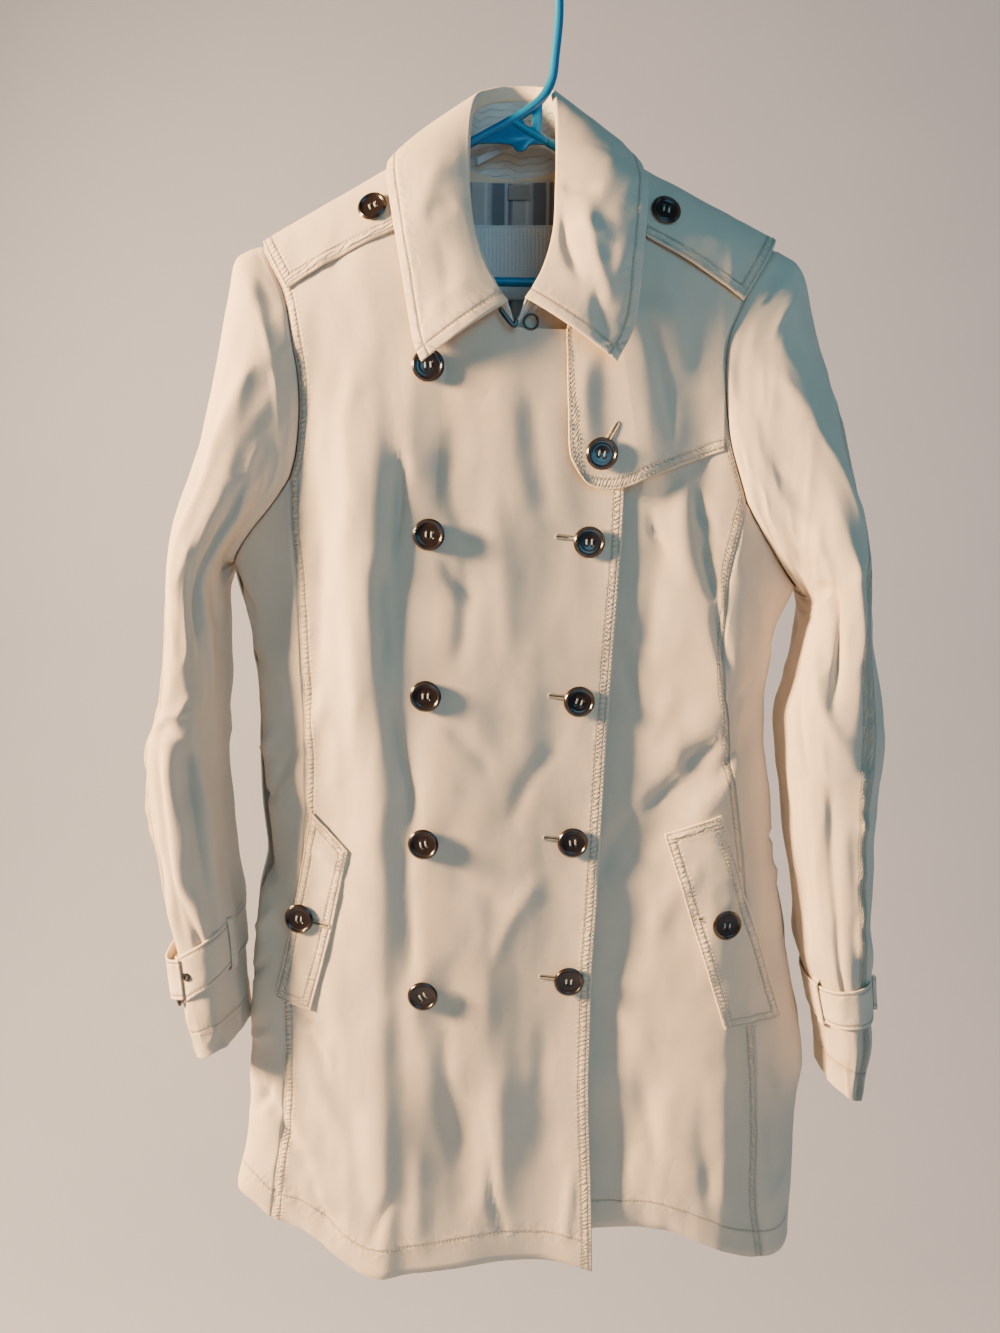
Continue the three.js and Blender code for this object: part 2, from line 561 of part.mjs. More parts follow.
function buildTrunk() {
  const lapTop = toAngles(along([[-10, -289], [76, -293]], OVERLAP_PARTS));
  const leftGrid = fillPatch(
    toAngles(along(FRONT_HEM, FRONT_PARTS)),
    joinLines(shoulderLeft, neckLeft, lapTop),
    joinLines(seamPrincessLeft, armholeFrontLeft),
    frontEdgeRows(FRONT_EDGE),
  );
  const frontLeft = trunkCloth('front_left_lap', -1, clearNeck(leftGrid, NECK_LEFT, -1), lapLift);

  const underTop = toAngles(along([[-100, -296], [-10, -289]], OVERLAP_PARTS));
  const rightGrid = fillPatch(
    toAngles(along(UNDER_HEM, FRONT_PARTS)),
    joinLines(underTop, neckRight, shoulderRight),
    frontEdgeRows([[-100, -1048], [-100, -800], [-100, -550], [-100, -296]]),
    joinLines(seamPrincessRight, armholeFrontRight),
  );
  const frontRight = trunkCloth('front_right_under', -1, clearNeck(rightGrid, NECK_RIGHT, 1));

  const sideLeft = trunkCloth('side_front_left', -1, fillPatch(
    toAngles(along(SIDE_HEM_LEFT, ARMHOLE_UNDER)),
    underLeft,
    seamLeft,
    seamPrincessLeft,
  ));
  const sideRight = trunkCloth('side_front_right', -1, fillPatch(
    toAngles(along(SIDE_HEM_RIGHT, ARMHOLE_UNDER)),
    underRight,
    seamPrincessRight,
    seamRight,
  ));

  const back = trunkCloth('back', 1, fillPatch(
    toAngles(along(BACK_HEM, 2 * SHOULDER_PARTS + BACK_NECK_PARTS)),
    joinLines(shoulderLeft, neckBack, shoulderRight),
    joinLines(seamLeft, armholeBackLeft),
    joinLines(seamRight, armholeBackRight),
  ));
  return { frontLeft, frontRight, sideLeft, sideRight, back };
}

const trunk = buildTrunk();

// The edge of an armhole from the shoulder down the front, under the arm and up the back,
// each with the trunk's outward direction there.
function armholeLoop(front, frontColumn, side, sideBackwards, back, backColumn) {
  const pick = (panel, r, c) => ({ point: panel.edges[r][c], out: panel.normals[r][c] });
  const loop = [];
  for (let r = FRONT_ROWS; r > LOW_ROWS; r -= 1) loop.push(pick(front, r, frontColumn));
  for (let k = 0; k < ARMHOLE_UNDER; k += 1) {
    loop.push(pick(side, LOW_ROWS, sideBackwards ? ARMHOLE_UNDER - k : k));
  }
  for (let r = LOW_ROWS; r < LOW_ROWS + ARMHOLE_BACK; r += 1) loop.push(pick(back, r, backColumn));
  return loop;
}

// How far round a sleeve each point of the armhole lies: 0 at its outer edge, a half turn
// at its inner edge.
function loopAngles(loop) {
  const inner = ARMHOLE_FRONT + ARMHOLE_UNDER;
  const lengths = [0];
  for (let i = 1; i <= loop.length; i += 1) {
    lengths.push(lengths[i - 1] + loop[i % loop.length].point.distanceTo(loop[i - 1].point));
  }
  return loop.map((_entry, i) => {
    if (i <= inner) return (Math.PI * lengths[i]) / lengths[inner];
    return Math.PI * (1 + (lengths[i] - lengths[inner]) / (lengths[loop.length] - lengths[inner]));
  });
}

// A point of the plain sleeve tube: place runs from 0 at the armhole to 1 at the cuff.
function sleevePoint(table, angle, place) {
  const stations = table.map((_row, i) => i / (table.length - 1));
  const read = (name) => smooth(stations, table.map((row) => row[name]), place);
  const outer = new THREE.Vector3(read('ox'), read('y'), read('oz'));
  const inner = new THREE.Vector3(read('ix'), read('y'), read('iz'));
  const power = (value) => Math.sign(value) * Math.abs(value) ** SLEEVE_SQUARENESS;
  const point = inner.lerp(outer, (1 + power(Math.cos(angle))) / 2);
  point.y -= read('half') * power(Math.sin(angle));
  return point;
}

function gridNormals(grid, closed, flip) {
  const rows = grid.length;
  const cols = grid[0].length;
  return grid.map((row, r) => row.map((_point, c) => {
    const before = closed ? (c + cols - 1) % cols : Math.max(c - 1, 0);
    const after = closed ? (c + 1) % cols : Math.min(c + 1, cols - 1);
    const acrossGrid = grid[r][after].clone().sub(grid[r][before]);
    const upGrid = grid[Math.min(r + 1, rows - 1)][c].clone().sub(grid[Math.max(r - 1, 0)][c]);
    return acrossGrid.cross(upGrid).multiplyScalar(flip ? -1 : 1).normalize();
  }));
}

const BLEND_PLACE = 0.4;
const SEAM_TURN = 0.7;

// A sleeve, set into its armhole. Where the sleeve goes on from the trunk its edge is cut
// square to the trunk, and under the arm, where it turns back, square to itself.
function buildSleeve(name, table, loop, flip) {
  const angles = loopAngles(loop);
  const grid = Array.from({ length: SLEEVE_RINGS + 1 }, (_, k) => {
    const place = k / SLEEVE_RINGS;
    const settled = ease(place / BLEND_PLACE);
    return angles.map((angle, j) => {
      const start = loop[j].point.clone().addScaledVector(loop[j].out, SEAM_TURN);
      const shift = start.sub(sleevePoint(table, angle, 0)).multiplyScalar(1 - settled);
      return sleevePoint(table, angle, place).add(shift);
    });
  });
  trimRim(grid, 2 * TRIM, true);
  const normals = gridNormals(grid, true, flip);
  normals[0].forEach((normal, j) => {
    const same = ease((normal.dot(loop[j].out) + 0.2) / 0.7);
    normal.lerp(loop[j].out, same).normalize();
  });
  addPiece(name, wallGeometry(grid, moveIn(grid, normals, CLOTH), true, flip), MATERIALS.cloth);
}

const loopLeft = armholeLoop(trunk.frontLeft, 0, trunk.sideLeft, true, trunk.back, 0);
const loopRight = armholeLoop(trunk.frontRight, FRONT_PARTS, trunk.sideRight, false, trunk.back,
  2 * SHOULDER_PARTS + BACK_NECK_PARTS);
buildSleeve('sleeve_left', SLEEVE_LEFT, loopLeft, true);
buildSleeve('sleeve_right', SLEEVE_RIGHT, loopRight, false);

// A patch laid on the trunk between four edges, its face standing off by the given lift.
function laidPatch(name, bottom, top, left, right, lift, material, thickness) {
  const grid = fillPatch(toAngles(bottom), toAngles(top), toAngles(left), toAngles(right));
  return trunkCloth(name, -1, grid, lift, material, thickness);
}

const SECOND_LAYER = 2 * LAID_ON + 0.6;

function buildStormFlap() {
  const grid = fillPatch(
    toAngles(along(FLAP_BOTTOM, 9)),
    toAngles(joinLines(along(FLAP_NECK, 4), along([FLAP_NECK[4], FLAP_SHOULDER_END], 5))),
    toAngles(along(FLAP_LEFT, 8, closeAtEnd)),
    toAngles(along(FLAP_RIGHT, 8, closeAtEnd)),
  );
  trunkCloth('storm_flap', -1, clearNeck(grid, FLAP_NECK, 1), flapLift);
}

// A shoulder strap runs from the armhole to under the collar, over the top of the shoulder.
const STRAP_BEHIND = -8;
const STRAP_ROWS = [1, 0.6, 0.32, 0.14, 0.04, 0];
const STRAP_PARTS = 4;
function buildShoulderStraps() {
  const strap = (name, [leftEnd, rightEnd], lift) => {
    const down = (end) => [
      ...STRAP_ROWS.map((share) => ({ share, below: end.below * share })),
      { share: 0, below: STRAP_BEHIND / 4 },
      { share: 0, below: STRAP_BEHIND },
    ].map(({ share, below }) => {
      const x = mix(end.top, end.x, share);
      return [x, shoulderHeight(x) - below];
    });
    const left = down(leftEnd);
    const right = down(rightEnd);
    const last = left.length - 1;
    const bottom = along([left[0], right[0]], STRAP_PARTS);
    const top = along([left[last], right[last]], STRAP_PARTS);
    laidPatch(name, bottom, top, left, right, () => lift);
  };
  strap('shoulder_strap_left', STRAP_LEFT, LAID_ON);
  strap('shoulder_strap_right', STRAP_RIGHT, SECOND_LAYER);
}

function buildPockets() {
  const welt = (name, { bottom, top, left, right }, lift) => {
    laidPatch(name, along(bottom, 3), along(top, 3), along(left, 6), along(right, 6), () => lift);
  };
  welt('pocket_welt_left', WELT_LEFT, LAID_ON);
  welt('pocket_welt_right', WELT_RIGHT, WELT_ON);
}

const NECK_INSIDE_PARTS = 8;
const NECK_INSIDE_ROWS = 12;
function buildNeckInside() {
  const materials = { neck_label: MATERIALS.label };
  NECK_INSIDE.forEach(({ name, left, right, high, low, inside, thickness }) => {
    const rows = along([[left, low], [left, high]], NECK_INSIDE_ROWS, closeAtEnd);
    const grid = fillPatch(
      toAngles(along([[left, low], [right, low]], NECK_INSIDE_PARTS)),
      toAngles(along([[left, high], [right, high]], NECK_INSIDE_PARTS)),
      toAngles(rows),
      toAngles(rows.map(([, z]) => [right, z])),
    );
    trunkCloth(name, 1, grid, () => -inside, materials[name] || MATERIALS.lining, thickness);
  });
}

const COLLAR_ROWS = 5;
const COLLAR_SHOULDER_ROWS = [6, 12];
const STAND_ROWS = 3;
const FOLD_LIFT = 2.6;

// The fold line and the edge of the collar at a place from 0 to 1 along it.
function collarPoint(kind, place) {
  const stations = COLLAR.map((_row, i) => i / (COLLAR.length - 1));
  const read = (name) => smooth(stations, COLLAR.map((row) => row[kind + name]), place);
  const point = new THREE.Vector3(read('x'), read('y'), read('z'));
  const lift = smooth(stations, COLLAR.map((row) => row.lift), place);
  if (kind === 'e' && lift > 5) {
    const face = trunkPoint(-1, roundAngle(point.x, point.z), point.z);
    point.y = Math.min(point.y, face.y - lift);
  }
  return point;
}

// The points of the neck seam from the left front round the back to the right front, and
// the place along the collar that belongs to each.
function neckSeam() {
  const pick = (panel, c) => {
    const top = panel.edges.length - 1;
    return { point: panel.edges[top][c], out: panel.normals[top][c] };
  };
  const loop = [];
  for (let k = NECK_PARTS; k > 0; k -= 1) loop.push(pick(trunk.frontLeft, SHOULDER_PARTS + k));
  for (let k = 0; k <= BACK_NECK_PARTS; k += 1) loop.push(pick(trunk.back, SHOULDER_PARTS + k));
  const rightEnd = OVERLAP_PARTS + NECK_PARTS;
  for (let k = 1; k <= NECK_PARTS; k += 1) loop.push(pick(trunk.frontRight, rightEnd - k));
  const last = loop.length - 1;
  const rows = COLLAR.length - 1;
  const stations = [0, NECK_PARTS / last, 1 - NECK_PARTS / last, 1];
  const places = [0, COLLAR_SHOULDER_ROWS[0] / rows, COLLAR_SHOULDER_ROWS[1] / rows, 1];
  return loop.map((entry, k) => {
    const share = k / last;
    const i = 1 + stations.slice(1, -1).filter((station) => share > station).length;
    const t = (share - stations[i - 1]) / (stations[i] - stations[i - 1]);
    return { ...entry, place: mix(places[i - 1], places[i], t) };
  });
}

// The collar's fall, from the fold line down to its edge, swelling a little in between.
function buildCollarFall(seam) {
  const ruled = Array.from({ length: COLLAR_ROWS + 1 }, (_r, r) => (
    seam.map(({ place }) => collarPoint('f', place).lerp(collarPoint('e', place), r / COLLAR_ROWS))
  ));
  const lean = gridNormals(ruled, false, false);
  const outer = ruled.map((row, r) => row.map((point, c) => {
    const v = r / COLLAR_ROWS;
    return point.clone().addScaledVector(lean[r][c], FOLD_LIFT * (1 - v) + 4 * COLLAR_PUFF * v * (1 - v));
  }));
  const inner = moveIn(outer, gridNormals(outer, false, false), CLOTH);
  addPiece('collar_fall', wallGeometry(outer, inner), MATERIALS.cloth);
}

// The collar's stand rises from the neck seam to the fold line.
function buildCollarStand(seam) {
  const outer = Array.from({ length: STAND_ROWS + 1 }, (_r, r) => (
    seam.map(({ point, place }) => point.clone().lerp(collarPoint('f', place), r / STAND_ROWS))
  ));
  trimRim(outer, 2 * TRIM + 0.1);
  const normals = gridNormals(outer, false, true);
  normals[0].forEach((normal, c) => normal.add(seam[c].out).normalize());
  const inner = moveIn(outer, normals, CLOTH);
  addPiece('collar_stand', wallGeometry(outer, inner, false, true), MATERIALS.stand);
}

// A button is a turned disc with a raised rim, sewn on by a short thread shank.
function buttonGeometry(radius) {
  const height = BUTTON_HEIGHT;
  const profile = [
    [0, 0], [2.6, 0], [2.6, 1], [radius - 1.5, 1.1], [radius, 2.2], [radius - 0.3, height - 0.6],
    [radius - 1.6, height], [radius - 3, height - 1], [0, height - 1.2],
  ];
  return new THREE.LatheGeometry(profile.map(([r, y]) => new THREE.Vector2(r, y)), BUTTON_SIDES);
}

function placeOn(mesh, name, point, normal) {
  mesh.name = name;
  mesh.position.copy(point);
  mesh.quaternion.setFromUnitVectors(new THREE.Vector3(0, 1, 0), normal);
  coat.add(mesh);
}

const BUTTON_GAP = 0.35;
function buildButtons() {
  const lifts = {
    top: lapLift, flap: flapLift, laid: () => LAID_ON, welt: () => WELT_ON, second: () => SECOND_LAYER,
  };
  BUTTONS.forEach(({ name, x, z, on }) => {
    const angle = roundAngle(x, z);
    const normal = trunkNormal(-1, angle, z);
    const point = trunkPoint(-1, angle, z).addScaledVector(normal, lifts[on](x, z) + BUTTON_GAP);
    const radius = name.includes('shoulder') ? SMALL_BUTTON_RADIUS : BUTTON_RADIUS;
    placeOn(new THREE.Mesh(buttonGeometry(radius), MATERIALS.button), name, point, normal);
  });
}

const degrees = (value) => (value * Math.PI) / 180;

// The outward direction of the plain sleeve tube. turning is 1 where the angle runs
// clockwise seen from above, -1 on the other sleeve.
function sleeveNormal(table, angle, place, turning) {
  const acrossSleeve = sleevePoint(table, angle + 0.02, place).sub(sleevePoint(table, angle - 0.02, place));
  const downSleeve = sleevePoint(table, angle, place + 0.01).sub(sleevePoint(table, angle, place - 0.01));
  return acrossSleeve.cross(downSleeve).multiplyScalar(turning).normalize();
}

// A strip of cloth laid on a sleeve. middle and half give its place along the sleeve and
// half its width there, at a share from 0 to 1 of the way from the first angle to the last.
function sleeveStrip(name, table, turning, angles, middle, half, lift, closed = false) {
  const last = closed ? angles.length : angles.length - 1;
  const at = (share, v) => middle(share) + v * half(share);
  const grid = (height) => [-1, 0, 1].map((v) => angles.map((angle, c) => {
    const place = at(c / last, v);
    const normal = sleeveNormal(table, angle, place, turning);
    return sleevePoint(table, angle, place).addScaledVector(normal, height);
  }));
  const flip = (turning < 0) === (angles[1] > angles[0]);
  addPiece(name, wallGeometry(grid(lift), grid(lift - CLOTH), closed, flip), MATERIALS.cloth);
}

function spread(from, to, parts) {
  return Array.from({ length: parts + 1 }, (_, k) => degrees(mix(from, to, k / parts)));
}

// A buckle's frame, flat, with the strap's way through it along X.
const BUCKLE = { overStrap: 4, half: 9, bar: 3, thickness: 2.4 };
function buckleGeometry() {
  const w = STRAP_WIDTH / 2 + BUCKLE.overStrap;
  const h = BUCKLE.half;
  const frame = rectangle(new THREE.Shape(), w, h);
  frame.holes.push(rectangle(new THREE.Path(), w - BUCKLE.bar, h - BUCKLE.bar));
  const geometry = new THREE.ExtrudeGeometry(frame, { depth: BUCKLE.thickness, bevelEnabled: false });
  return geometry.rotateX(-Math.PI / 2);
}

function rectangle(path, w, h) {
  return path.moveTo(-w, -h).lineTo(w, -h).lineTo(w, h).lineTo(-w, h).closePath();
}

// A cuff: a strap round the sleeve with its keeper loop, loose end and buckle.
const KEEPER_HALF_TURN = 5;
const KEEPER_OVER_STRAP = 1.35;
const END_WIDTH = 0.86;
const END_POINT = 0.35;
const END_PARTS = 6;
function buildCuff(side, table, turning, loop, cuff) {
  const half = STRAP_WIDTH / 2 / cuff.sleeveLength;
  const angles = loopAngles(loop);
  const middleAt = (angle) => cuff.middle + (cuff.tilt * Math.cos(angle)) / cuff.sleeveLength;
  const angleAt = (share) => angles[Math.round(share * angles.length) % angles.length];
  sleeveStrip(`cuff_strap_${side}`, table, turning, angles,
    (share) => middleAt(angleAt(share)), () => half, CUFF_LIFT.strap, true);

  const keeperAngles = spread(cuff.keeper - KEEPER_HALF_TURN, cuff.keeper + KEEPER_HALF_TURN, 2);
  sleeveStrip(`cuff_keeper_${side}`, table, turning, keeperAngles,
    () => middleAt(degrees(cuff.keeper)), () => half * KEEPER_OVER_STRAP, CUFF_LIFT.keeper);

  const [endStart, endTip] = cuff.end;
  const endMiddle = (share) => {
    const angle = degrees(mix(endStart, endTip, share));
    return middleAt(angle) + (cuff.drop * share) / cuff.sleeveLength;
  };
  const endHalf = (share) => half * END_WIDTH * (share > 0.9 ? END_POINT : 1);
  sleeveStrip(`cuff_strap_end_${side}`, table, turning, spread(endStart, endTip, END_PARTS),
    endMiddle, endHalf, CUFF_LIFT.end);

  const angle = degrees(cuff.buckle);
  const place = middleAt(angle);
  const normal = sleeveNormal(table, angle, place, turning);
  const above = sleevePoint(table, angle, place - 0.01);
  const down = sleevePoint(table, angle, place + 0.01).sub(above).normalize();
  const leftward = new THREE.Vector3().crossVectors(down, normal).normalize();
  const buckle = new THREE.Mesh(buckleGeometry(), MATERIALS.metal);
  buckle.name = `cuff_buckle_${side}`;
  buckle.quaternion.setFromRotationMatrix(new THREE.Matrix4().makeBasis(down, normal, leftward));
  buckle.position.copy(sleevePoint(table, angle, place)).addScaledVector(normal, CUFF_LIFT.buckle);
  coat.add(buckle);
}

// The eyelet in the left cuff's strap.
function buildEyelet() {
  const angle = degrees(EYELET_ANGLE);
  const place = LEFT_CUFF.middle + (LEFT_CUFF.tilt * Math.cos(angle)) / LEFT_CUFF.sleeveLength;
  const normal = sleeveNormal(SLEEVE_LEFT, angle, place, -1);
  const face = CUFF_LIFT.strap + BUTTON_GAP;
  const point = sleevePoint(SLEEVE_LEFT, angle, place).addScaledVector(normal, face);
  const profile = [
    [EYELET_HOLE, 0], [EYELET_RADIUS, 0], [EYELET_RADIUS - 0.6, 1], [EYELET_HOLE, 1], [EYELET_HOLE, 0],
  ];
  const geometry = new THREE.LatheGeometry(profile.map(([r, y]) => new THREE.Vector2(r, y)), BUTTON_SIDES);
  placeOn(new THREE.Mesh(geometry, MATERIALS.metal), 'cuff_eyelet_left', point, normal);
}

// A tube of the given radius along a smooth line through points.
function tube(points, radius, sides, steps) {
  const places = points.map((p) => new THREE.Vector3(...p));
  const path = new THREE.CatmullRomCurve3(places, false, 'centripetal');
  const section = new THREE.Shape();
  for (let i = 0; i < sides; i += 1) {
    const a = (2 * Math.PI * i) / sides;
    section[i === 0 ? 'moveTo' : 'lineTo'](radius * Math.cos(a), radius * Math.sin(a));
  }
  section.closePath();
  return new THREE.ExtrudeGeometry(section, { steps, extrudePath: path, bevelEnabled: false });
}

const wasm = await Module();
wasm.setup();

function toSolid(geometry) {
  const bare = geometry.clone();
  bare.deleteAttribute('normal');
  bare.deleteAttribute('uv');
  const merged = BufferGeometryUtils.mergeVertices(bare, 1e-4);
  return new wasm.Manifold(new wasm.Mesh({
    numProp: 3,
    vertProperties: new Float32Array(merged.attributes.position.array),
    triVerts: new Uint32Array(merged.index.array),
  }));
}

function fromSolid(solid) {
  const mesh = solid.getMesh();
  const geometry = new THREE.BufferGeometry();
  geometry.setAttribute('position', new THREE.BufferAttribute(mesh.vertProperties, 3));
  geometry.setIndex(new THREE.BufferAttribute(mesh.triVerts, 1));
  return geometry;
}

// A flat plate in the hanger's plane with the given outline.
function plateSolid(outline) {
  const shape = new THREE.Shape(outline.map(([x, z]) => new THREE.Vector2(x, z)));
  const plate = new THREE.ExtrudeGeometry(shape, { depth: PLATE_THICKNESS, bevelEnabled: false });
  plate.rotateX(Math.PI / 2).translate(0, PLATE_THICKNESS / 2, 0);
  return toSolid(plate);
}

// The hanger is one bent tube: hook, left arm, bottom bar and right arm, with a flat gusset
// and a rib where the right arm meets the stem.
function buildHanger() {
  const inPlane = (points) => points.map(([x, z]) => [x, 0, z]);
  const middle = HANGER_RADIUS - HOOK_RADIUS;
  const hook = [];
  for (let a = 205; a > -20; a -= 22.5) {
    const angle = degrees(a);
    hook.push([HOOK_RADIUS * Math.cos(angle), 0, middle + HOOK_RADIUS * Math.sin(angle)]);
  }
  const loop = tube([...hook, ...inPlane(HANGER_PATH)], HANGER_RADIUS, HANGER_SIDES, 92);
  const joint = tube(inPlane(HANGER_JOINT), HANGER_RADIUS - 0.1, HANGER_SIDES, 3);
  const whole = [toSolid(joint), plateSolid(GUSSET), plateSolid(RIB)]
    .reduce((solid, piece) => solid.add(piece), toSolid(loop));
  addPiece('hanger', fromSolid(whole), MATERIALS.plastic);
}

// The hanging loop inside the neck, and the hook and eye that close the collar.
function buildNeckTrim() {
  const line = along(LOOP_ARCH, 10);
  const rows = (y) => [0, LOOP_WIDTH].map((rise) => (
    line.map(([x, z]) => new THREE.Vector3(x, y, z + rise))
  ));
  const strip = wallGeometry(rows(LOOP_BEHIND), rows(LOOP_BEHIND + LOOP_THICKNESS));
  addPiece('hanging_loop', strip, MATERIALS.stand);
  addPiece('collar_hook', tube(HOOK_PATH, WIRE_RADIUS, 6, 8), MATERIALS.metal);
  const eye = new THREE.TorusGeometry(EYE_RADIUS, WIRE_RADIUS, 6, 14);
  eye.rotateX(Math.PI / 2).translate(...EYE_PLACE);
  addPiece('collar_eye', eye, MATERIALS.metal);
}

buildStormFlap();
buildShoulderStraps();
buildPockets();
buildNeckInside();
const seam = neckSeam();
buildCollarFall(seam);
buildCollarStand(seam);
buildButtons();
buildCuff('left', SLEEVE_LEFT, -1, loopLeft, LEFT_CUFF);
buildCuff('right', SLEEVE_RIGHT, 1, loopRight, RIGHT_CUFF);
buildEyelet();
buildHanger();
buildNeckTrim();

export default coat;
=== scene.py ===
# %% [markdown]
# # A trench coat on its hanger
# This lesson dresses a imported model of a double-breasted trench coat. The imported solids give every
# piece its place. Each cloth piece is then worked out again as a fine surface on the same form, with
# the creases, turned edges and stitches that the solids leave out. Sizes are in millimetres until a
# mesh is made. X runs to the viewer's right, Y away from the viewer and Z up, and the origin is the
# underside of the hanger's hook.

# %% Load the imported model
import math

import bpy
import mathutils
import numpy as np
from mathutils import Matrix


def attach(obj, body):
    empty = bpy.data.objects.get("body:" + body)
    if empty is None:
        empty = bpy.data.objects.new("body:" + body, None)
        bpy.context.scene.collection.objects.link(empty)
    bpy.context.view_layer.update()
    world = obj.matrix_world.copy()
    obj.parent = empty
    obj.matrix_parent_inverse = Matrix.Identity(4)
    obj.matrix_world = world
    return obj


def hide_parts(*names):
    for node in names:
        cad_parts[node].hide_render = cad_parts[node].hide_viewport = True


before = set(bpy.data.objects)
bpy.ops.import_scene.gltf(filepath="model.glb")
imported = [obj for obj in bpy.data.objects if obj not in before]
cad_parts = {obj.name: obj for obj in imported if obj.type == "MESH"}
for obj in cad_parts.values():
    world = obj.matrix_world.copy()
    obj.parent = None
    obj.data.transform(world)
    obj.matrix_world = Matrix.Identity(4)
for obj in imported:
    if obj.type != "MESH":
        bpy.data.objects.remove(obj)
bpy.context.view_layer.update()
MM = 0.001
print("packed nodes:", len(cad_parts))

# %% [markdown]
# ## The camera
# The photograph was taken from less than a metre away, a little above the coat's middle and tipped
# down. A short lens near the coat gives the same wide perspective, which a long lens from far off
# would flatten.

# %% Place the camera
CAMERA_PLACE = (-0.0215, -0.860, -0.435)
CAMERA_TILT = 8
LENS, SENSOR_WIDTH = 27.82, 36

camera = bpy.data.objects.new("camera", bpy.data.cameras.new("camera"))
camera.data.sensor_width = SENSOR_WIDTH
camera.data.lens = LENS
camera.location = CAMERA_PLACE
camera.rotation_euler = (math.radians(90 - CAMERA_TILT), 0, 0)
bpy.context.collection.objects.link(camera)
bpy.context.scene.camera = camera

# %% [markdown]
# ## Curves through a few known places
# A pattern cutter knows a coat by a short list of measures and draws smooth lines between them. Here
# every outline is such a list, and one function reads a smooth curve through it. A spline object
# could do that too, but a plain formula works on whole arrays of places at once.

# %% Smooth curves and named tables
def table(columns, *rows):
    """A table with named columns: {name: array of that column}."""
    return dict(zip(columns.split(), np.array(rows, float).T))


def ease(value):
    """0 below nought, 1 above one, and the soft step t*t*(3 - 2t) between."""
    t = np.clip(value, 0, 1)
    return t * t * (3 - 2 * t)


def smooth(stations, values, at):
    """A cubic curve through values at stations, read at any places.

    Each stretch is the Hermite curve whose slopes join the neighbours on both sides.
    """
    stations, values = np.asarray(stations, float), np.asarray(values, float)
    last = len(stations) - 1
    before, after = np.maximum(np.arange(last + 1) - 1, 0), np.minimum(np.arange(last + 1) + 1, last)
    slopes = (values[after] - values[before]) / (stations[after] - stations[before])
    at = np.clip(at, stations[0], stations[-1])
    i = np.clip(np.searchsorted(stations, at) - 1, 0, last - 1)
    span = stations[i + 1] - stations[i]
    t = (at - stations[i]) / span
    rise = values[i + 1] - values[i]
    start, end = slopes[i] * span, slopes[i + 1] * span
    bow = t * t * (3 * rise - 2 * start - end)
    return values[i] + t * start + bow + t**3 * (start + end - 2 * rise)


def line_lengths(points):
    """The distance along a line from its start, at each of its points."""
    return np.concatenate([[0], np.cumsum(np.linalg.norm(np.diff(points, axis=0), axis=1))])


def read_line(line, stations, at, period=None):
    """A line of points read at any places, where its own points lie at the stations."""
    return np.stack([np.interp(at, stations, column, period=period) for column in line.T], axis=-1)


# %% Smooth lines through points
def along(points, shares):
    """Points at shares (0 to 1) of the length of a smooth line through points."""
    points = np.asarray(points, float)
    stations = line_lengths(points)
    places = stations[-1] * np.asarray(shares, float)
    return np.stack([smooth(stations, column, places) for column in points.T], axis=-1)


def chain(*lines):
    """Lines end to end, each without the point that it shares with the one before."""
    return np.concatenate([lines[0], *[line[1:] for line in lines[1:]]])


def closed_line(points):
    """The same line with its first point again at its end."""
    return np.concatenate([points, points[:1]])


def steps(parts):
    """Even shares from 0 to 1."""
    return np.linspace(0, 1, parts + 1)


def close_at_end(t):
    """Shares that crowd towards 1, where the cloth turns over the shoulder: 1 - (1 - t)^1.7."""
    return 1 - (1 - t) ** 1.7


# %% [markdown]
# ## Chance that repeats
# Hanging cloth is never quite even. Smooth noise from a seeded grid of random numbers gives it slow
# swells, and the same seed gives the same coat on every run.

# %% Smooth noise
def unevenness(u, v, seed):
    """Smooth noise from -1 to 1: random numbers at whole u and v, eased between."""
    size = 97
    grid = np.random.default_rng(seed).uniform(-1, 1, (size, size))
    u, v = np.asarray(u, float) + 40, np.asarray(v, float) + 40
    i, j = np.floor(u).astype(int), np.floor(v).astype(int)
    a, b = ease(u - i), ease(v - j)
    low = grid[i % size, j % size] * (1 - a) + grid[(i + 1) % size, j % size] * a
    high = grid[i % size, (j + 1) % size] * (1 - a) + grid[(i + 1) % size, (j + 1) % size] * a
    return low * (1 - b) + high * b


# %% [markdown]
# ## The trunk's form
# Seen from above, a coat on a hanger is a flattened oval, and along the shoulders it closes to a
# rounded edge. One function turns an angle round the coat and a height into a place on that form.
# Every panel of the trunk, and all that lies on it, is cut from this one surface, so that pieces meet
# at their seams and lie on each other with no fitting.

# %% Sizes of the trunk
CLOTH = 1.5
LAID_ON = 3.2
WELT_ON = 2.6
SECOND_LAYER = 2 * LAID_ON + 0.6
SHOULDER_ROUND = 100
BODY_SQUARENESS = 0.62
SLEEVE_SQUARENESS = 0.85
FRONT, BACK = -1, 1

BODY = table(
    "z left right front back",
    (-1090, -263, 240, 47, 42),
    (-1016, -257, 242, 47, 42),
    (-968, -247, 244, 47, 42),
    (-879, -242, 246, 47, 41),
    (-812, -237, 233, 47, 40),
    (-749, -229, 221, 47, 39),
    (-716, -219, 215, 47, 39),
    (-672, -223, 208, 47, 38),
    (-594, -224, 198, 47, 38),
    (-530, -230, 208, 47, 38),
    (-490, -240, 224, 46, 38),
    (-469, -244, 224, 46, 38),
    (-200, -244, 224, 46, 38),
)
SHOULDER_LINE = table(
    "x z", (-262, -245), (-211, -218), (-66, -140.5), (-10, -114), (46, -146), (198, -221.5), (250, -247)
)

